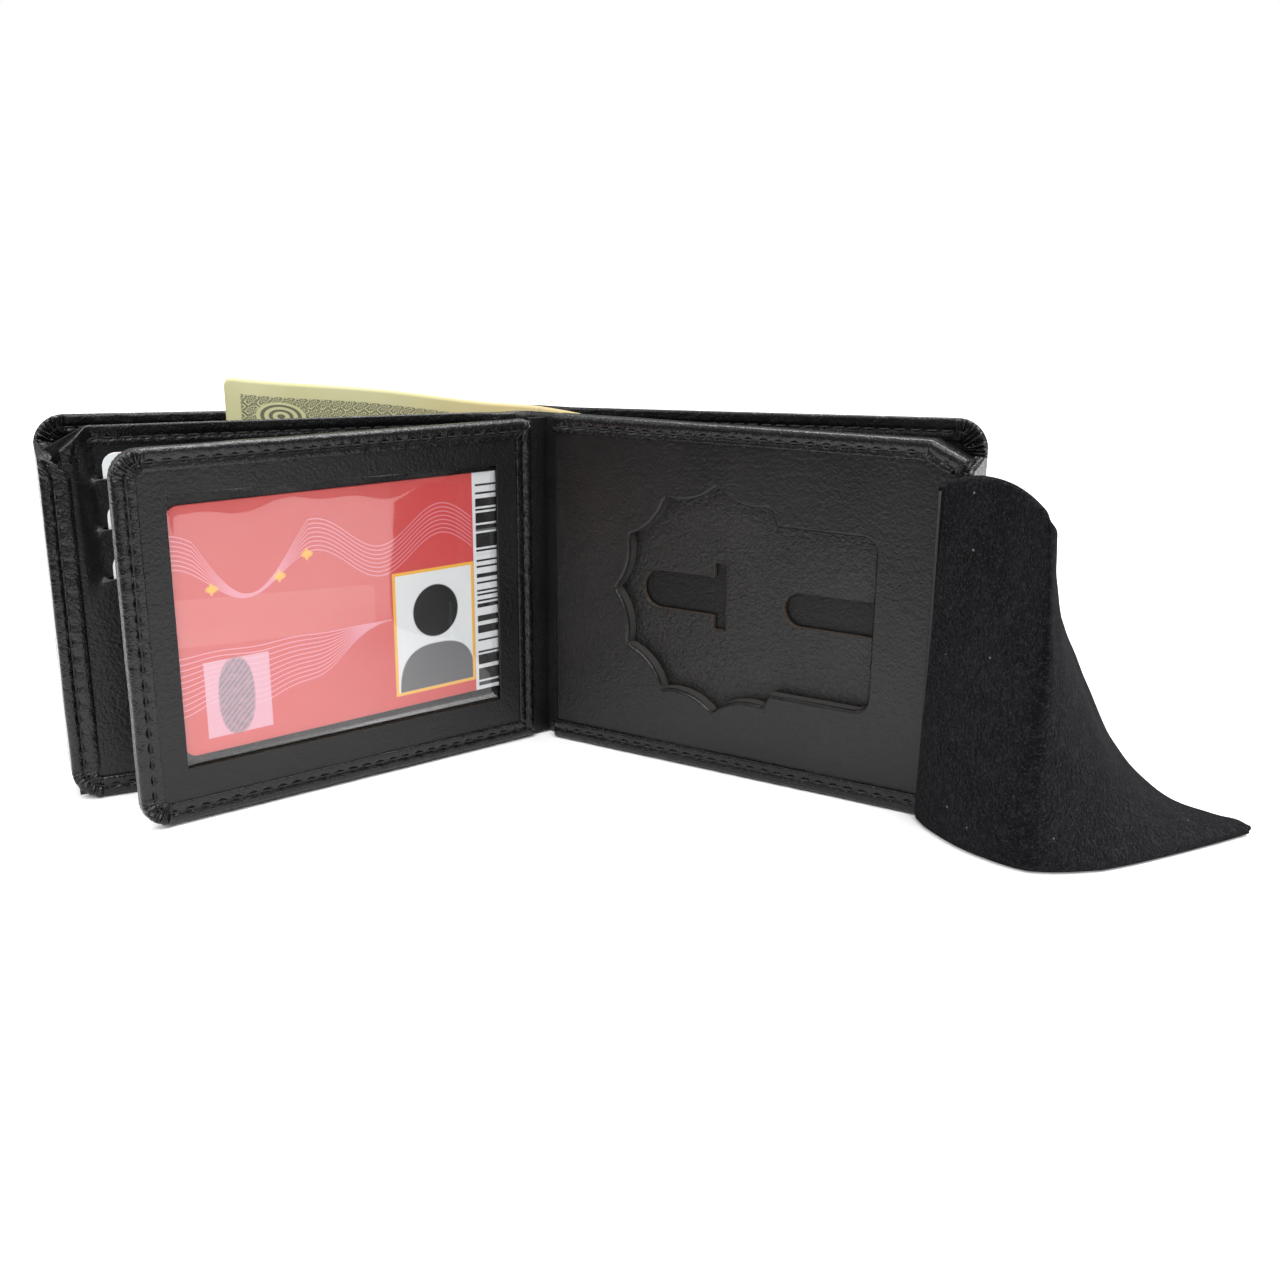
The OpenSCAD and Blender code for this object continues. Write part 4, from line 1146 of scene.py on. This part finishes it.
def noteLevels(s, total, right, arc):               # the note rises to the left and falls to the right
    rise = math.tan(math.radians(note["tilt"]))
    past = s - right - arc / 2
    top = note["fold"] + past * rise + 0.35 * math.sin(s * 0.11 + 1.0)
    worn = max(0.0, note["round"] - (total - s), note["round"] - s)
    return top - note["high"], top - note["round"] + math.sqrt(max(0.0, note["round"] ** 2 - worn ** 2))


noteRadius = note["depth"] - spine["y"]
notePieces = arcStrip("Note", "banknote", (noteRadius - note["thick"], noteRadius), noteLevels, "note_paper",
                      tabs=(note["right"], note["left"]), lap=0.0, paper=True)
print("fold and note made")


# Suede flap: the hanging sheet, rows from the table up, each from the seam to the free edge, in shares
flap = {"seam": 104.0, "lean": 2.2, "long": 98.0, "high": 77.6, "foot": 0.4, "thick": 1.4, "steps": 14,
        "flare": 2.4}                               # how far the lower edge turns outwards
flapShares = [
    [(0.003, -0.03, 0), (0.061, -0.09, 0), (0.163, -0.155, 0), (0.289, -0.188, 0),
     (0.362, -0.161, 0), (0.466, -0.04, 0), (0.577, 0.127, 0), (0.685, 0.308, 0)],
    [(0.003, -0.03, 0.0625), (0.062, -0.088, 0.0625), (0.164, -0.152, 0.0625), (0.291, -0.187, 0.0625),
     (0.361, -0.156, 0.06), (0.46, -0.035, 0.052), (0.566, 0.127, 0.045), (0.676, 0.304, 0.036)],
    [(0.003, -0.03, 0.25), (0.066, -0.082, 0.25), (0.168, -0.143, 0.25), (0.296, -0.182, 0.25),
     (0.352, -0.138, 0.24), (0.418, -0.01, 0.2), (0.469, 0.128, 0.14), (0.51, 0.258, 0.09)],
    [(0.003, -0.03, 0.5), (0.071, -0.066, 0.505), (0.179, -0.126, 0.505), (0.299, -0.171, 0.49),
     (0.332, -0.117, 0.48), (0.352, 0, 0.42), (0.362, 0.133, 0.337), (0.372, 0.254, 0.255)],
    [(0.003, -0.036, 0.75), (0.082, -0.062, 0.77), (0.189, -0.104, 0.77), (0.298, -0.161, 0.73),
     (0.306, -0.107, 0.705), (0.291, 0.026, 0.628), (0.276, 0.173, 0.537), (0.27, 0.31, 0.46)],
    [(0.003, -0.041, 1.02), (0.097, -0.066, 1.046), (0.194, -0.092, 1.03), (0.277, -0.146, 0.974),
     (0.291, -0.098, 0.915), (0.24, 0.031, 0.834), (0.199, 0.194, 0.73), (0.173, 0.367, 0.64)],
]


def throughPoints(points, steps):                   # a smooth curve through them, steps to each span
    points = np.asarray(points, float)
    padded = np.concatenate([points[:1], points, points[-1:]])
    out = []
    for i in range(len(points) - 1):
        a, b, c, d = padded[i:i + 4]
        for k in range(steps):
            t = k / steps
            bend, twist = 2 * a - 5 * b + 4 * c - d, 3 * (b - c) + d - a
            out.append(b + 0.5 * t * ((c - a) + t * (bend + t * twist)))
    return np.array(out + [points[-1]])


def travelled(grid, axis):                          # length run so far along a grid's rows or columns
    steps = np.linalg.norm(np.diff(grid, axis=axis), axis=2)
    return np.concatenate([np.zeros_like(np.take(steps, [0], axis)), np.cumsum(steps, axis)], axis)


def suedeFlap():
    shares = np.array(flapShares, float)
    steps = flap["steps"]
    acrossRows = np.array([throughPoints(row, steps) for row in shares])
    grid = np.array([throughPoints(acrossRows[:, i], steps) for i in range(acrossRows.shape[1])])
    grid = grid.transpose(1, 0, 2)                  # rows from the table up
    lean = flap["lean"] * grid[..., 2] ** 1.5 * ramp(0.2 - grid[..., 0], 0.2)
    grid = np.stack([flap["seam"] + grid[..., 0] * flap["long"] + lean, grid[..., 1] * flap["long"],
                     flap["foot"] + grid[..., 2] * (flap["high"] - flap["foot"])], -1)
    upSteps, outSteps = grid.shape[0], grid.shape[1]
    along, high = travelled(grid, 1), travelled(grid, 0)
    normal = np.cross(np.gradient(grid, axis=0), np.gradient(grid, axis=1))
    normal /= np.linalg.norm(normal, axis=2, keepdims=True)
    free = np.minimum(ramp(along[:, -1:] - along, 1.0), ramp(high[-1:] - high, 1.0))
    free = np.minimum(free, ramp(along, 0.9))
    rounding = np.sqrt(np.clip(1 - (1 - free) ** 2, 0, 1))
    low = np.clip(high / 1.5, 0.25, 1)
    swell = ramp(along, 12) * ramp(high, 6) * free
    flare = flap["flare"] * bell(high, 0.0, 2.8) * ramp(along - 38, 14)
    grid = grid + normal * (swell * (0.35 * ripple(grid, 26.0, 81) + 0.12 * ripple(grid, 9.0, 82)))[..., None]
    grid = grid - normal * flare[..., None] * np.array([1, 1, 0])
    normal[..., 2] *= ramp(high, 3)
    normal /= np.linalg.norm(normal, axis=2, keepdims=True)
    thick = flap["thick"]
    front = grid + normal * (thick / 2 * (1 - rounding * low))[..., None]
    back = grid + normal * (thick / 2 * (1 + rounding * low))[..., None]
    spots = np.concatenate([front.reshape(-1, 3), back.reshape(-1, 3)])
    flat = np.stack([along, high, np.zeros_like(along)], -1).reshape(-1, 3)
    flat = np.concatenate([flat, flat + [0, 0, thick]])
    total = upSteps * outSteps
    faces = []
    for j in range(upSteps - 1):
        for i in range(outSteps - 1):
            a = j * outSteps + i
            faces.append((a, a + 1, a + outSteps + 1, a + outSteps))
            faces.append((a + total, a + total + outSteps, a + total + outSteps + 1, a + total + 1))
    for i in range(outSteps - 1):
        for a in (i, (upSteps - 1) * outSteps + i):
            faces.append((a, a + 1, a + 1 + total, a + total))
    for j in range(upSteps - 1):
        for a in (j * outSteps, j * outSteps + outSteps - 1):
            faces.append((a, a + outSteps, a + outSteps + total, a + total))
    made = makeObject("SuedeFlap", spots, faces, None, "black_suede", flat)
    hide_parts("suede_flap")
    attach(made, "flap")
    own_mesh(made)
    print("flap's own lengths:", along[:, -1].round(1)[[0, -1]], high[-1].round(1)[[0, -1]])


sewn = {"wide": 4.0, "thick": 0.8, "low": 7.0, "high": 77.1, "up": 150, "out": 8}


def sewnEdge():                                     # the strip of the flap that lies on the panel, sewn down
    up, out = sewn["up"], sewn["out"]
    heights = np.linspace(sewn["low"], sewn["high"], up + 1)
    rag = 0.16 * np.sin(heights * 4.1) * np.sin(heights * 1.7 + 1) + 0.1 * np.sin(heights * 9.7)
    lean = flap["lean"] * ramp(heights - flap["foot"], flap["high"] - flap["foot"]) ** 1.5
    loop = [(k / out, -1) for k in range(out + 1)] + [(k / out, 0) for k in range(out, -1, -1)]
    spots = []
    for z, ragged, shift in zip(heights, rag, lean):
        for share, side in loop:
            start = flap["seam"] + (ragged + 0.3 + shift if side else 0)
            soft = 0.35 if side and share == 0 else 0.0
            across = start + (flap["seam"] + sewn["wide"] - start) * share
            spots.append((across, side * sewn["thick"] + soft, z))
    spots = np.array(spots)
    flat = np.stack([spots[:, 0] - flap["seam"], spots[:, 2], spots[:, 1]], 1)
    made = makeObject("FlapSewnEdge", spots, ringFaces(up + 1, len(loop)), None, "black_suede", flat)
    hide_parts("flap_sewn_edge")
    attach(made, "right_half")


suedeFlap()
sewnEdge()
softenNode("flap_seam_thread", "black_thread", width=0.1, segments=2)
print("flap made")


# Camera, floor and light
camera = {"place": (191.0, -274.35, 117.7), "toward": (-0.49214, 0.83018, -0.26191), "roll": 0.011,
          "focal": 1284.6, "frame": 1280, "sensor": 36.0}


def addCamera():
    data = bpy.data.cameras.new("camera")
    data.sensor_width = camera["sensor"]
    data.lens = camera["focal"] / camera["frame"] * camera["sensor"]
    data.clip_start, data.clip_end = 0.01, 20
    thing = addObject("camera", data)
    toward = Vector(camera["toward"]).normalized()
    right = toward.cross(Vector((0, 0, 1))).normalized()
    up = right.cross(toward)
    roll = camera["roll"]
    right, up = right * math.cos(roll) + up * math.sin(roll), up * math.cos(roll) - right * math.sin(roll)
    basis = Matrix((right, up, -toward)).transposed().to_4x4()
    basis.translation = Vector(camera["place"]) * mm
    thing.matrix_world = basis
    bpy.context.scene.camera = thing


def addFloor():
    reach, front, up = 2.2, -0.27, -0.0002          # the upper parts mirror the dimmer room past its front
    mesh = bpy.data.meshes.new("floor")
    mesh.from_pydata([(-reach, front, up), (reach, front, up), (reach, reach, up), (-reach, reach, up)], [],
                     [(0, 1, 2, 3)])
    finish = Finish("paleFloor", Base_Color=(0.93, 0.93, 0.93, 1.0), Roughness=0.9,
                    Specular_IOR_Level=0.0)
    mesh.materials.append(finish.material)
    addObject("floor", mesh)


studio = {"sun": 2.9, "sunAngle": 54, "sunFrom": (0.42, -0.62, 0.9), "low": 0.15, "high": 0.92, "seen": 1.0}
lights = {
    "top": {"place": (0.05, 0.25, 0.85), "aim": (0.03, 0.0, 0.06), "size": (0.9, 0.35), "power": 9.5},
    "left": {"place": (-0.75, -0.35, 0.55), "aim": (-0.05, 0.0, 0.05), "size": (0.4, 0.6), "power": 2.5},
}


def addLamp(name, kind, place, aim):
    data = bpy.data.lights.new(name, kind)
    lamp = addObject(name, data)
    lamp.location = place
    lamp.rotation_euler = (Vector(aim) - lamp.location).to_track_quat("-Z", "Y").to_euler()
    return data


def addLights():
    sun = addLamp("tent", "SUN", studio["sunFrom"], (0, 0, 0))
    sun.energy, sun.angle = studio["sun"], math.radians(studio["sunAngle"])
    for name, facts in lights.items():
        data = addLamp(name, "AREA", facts["place"], facts["aim"])
        data.shape, data.size, data.size_y = "RECTANGLE", *facts["size"]
        data.energy = facts["power"]
    world = bpy.data.worlds.new("studio")
    world.use_nodes = True
    tree = world.node_tree
    path = tree.nodes.new("ShaderNodeLightPath")    # the backdrop looks white and lights the piece from above
    heading, height = tree.nodes.new("ShaderNodeTexCoord"), tree.nodes.new("ShaderNodeSeparateXYZ")
    tree.links.new(heading.outputs["Generated"], height.inputs[0])
    room, strength = tree.nodes.new("ShaderNodeMapRange"), tree.nodes.new("ShaderNodeMapRange")
    room.inputs["From Max"].default_value = 0.8
    room.inputs["To Min"].default_value, room.inputs["To Max"].default_value = studio["low"], studio["high"]
    strength.inputs["To Max"].default_value = studio["seen"]
    tree.links.new(height.outputs["Z"], room.inputs["Value"])
    tree.links.new(room.outputs[0], strength.inputs["To Min"])
    tree.links.new(path.outputs["Is Camera Ray"], strength.inputs["Value"])
    tree.nodes["Background"].inputs[0].default_value = (1.0, 1.0, 1.0, 1.0)
    tree.links.new(strength.outputs[0], tree.nodes["Background"].inputs[1])
    bpy.context.scene.world = world
    bpy.context.scene.view_settings.view_transform = "Standard"


addCamera()
addFloor()
addLights()
print("camera, floor and lights made")
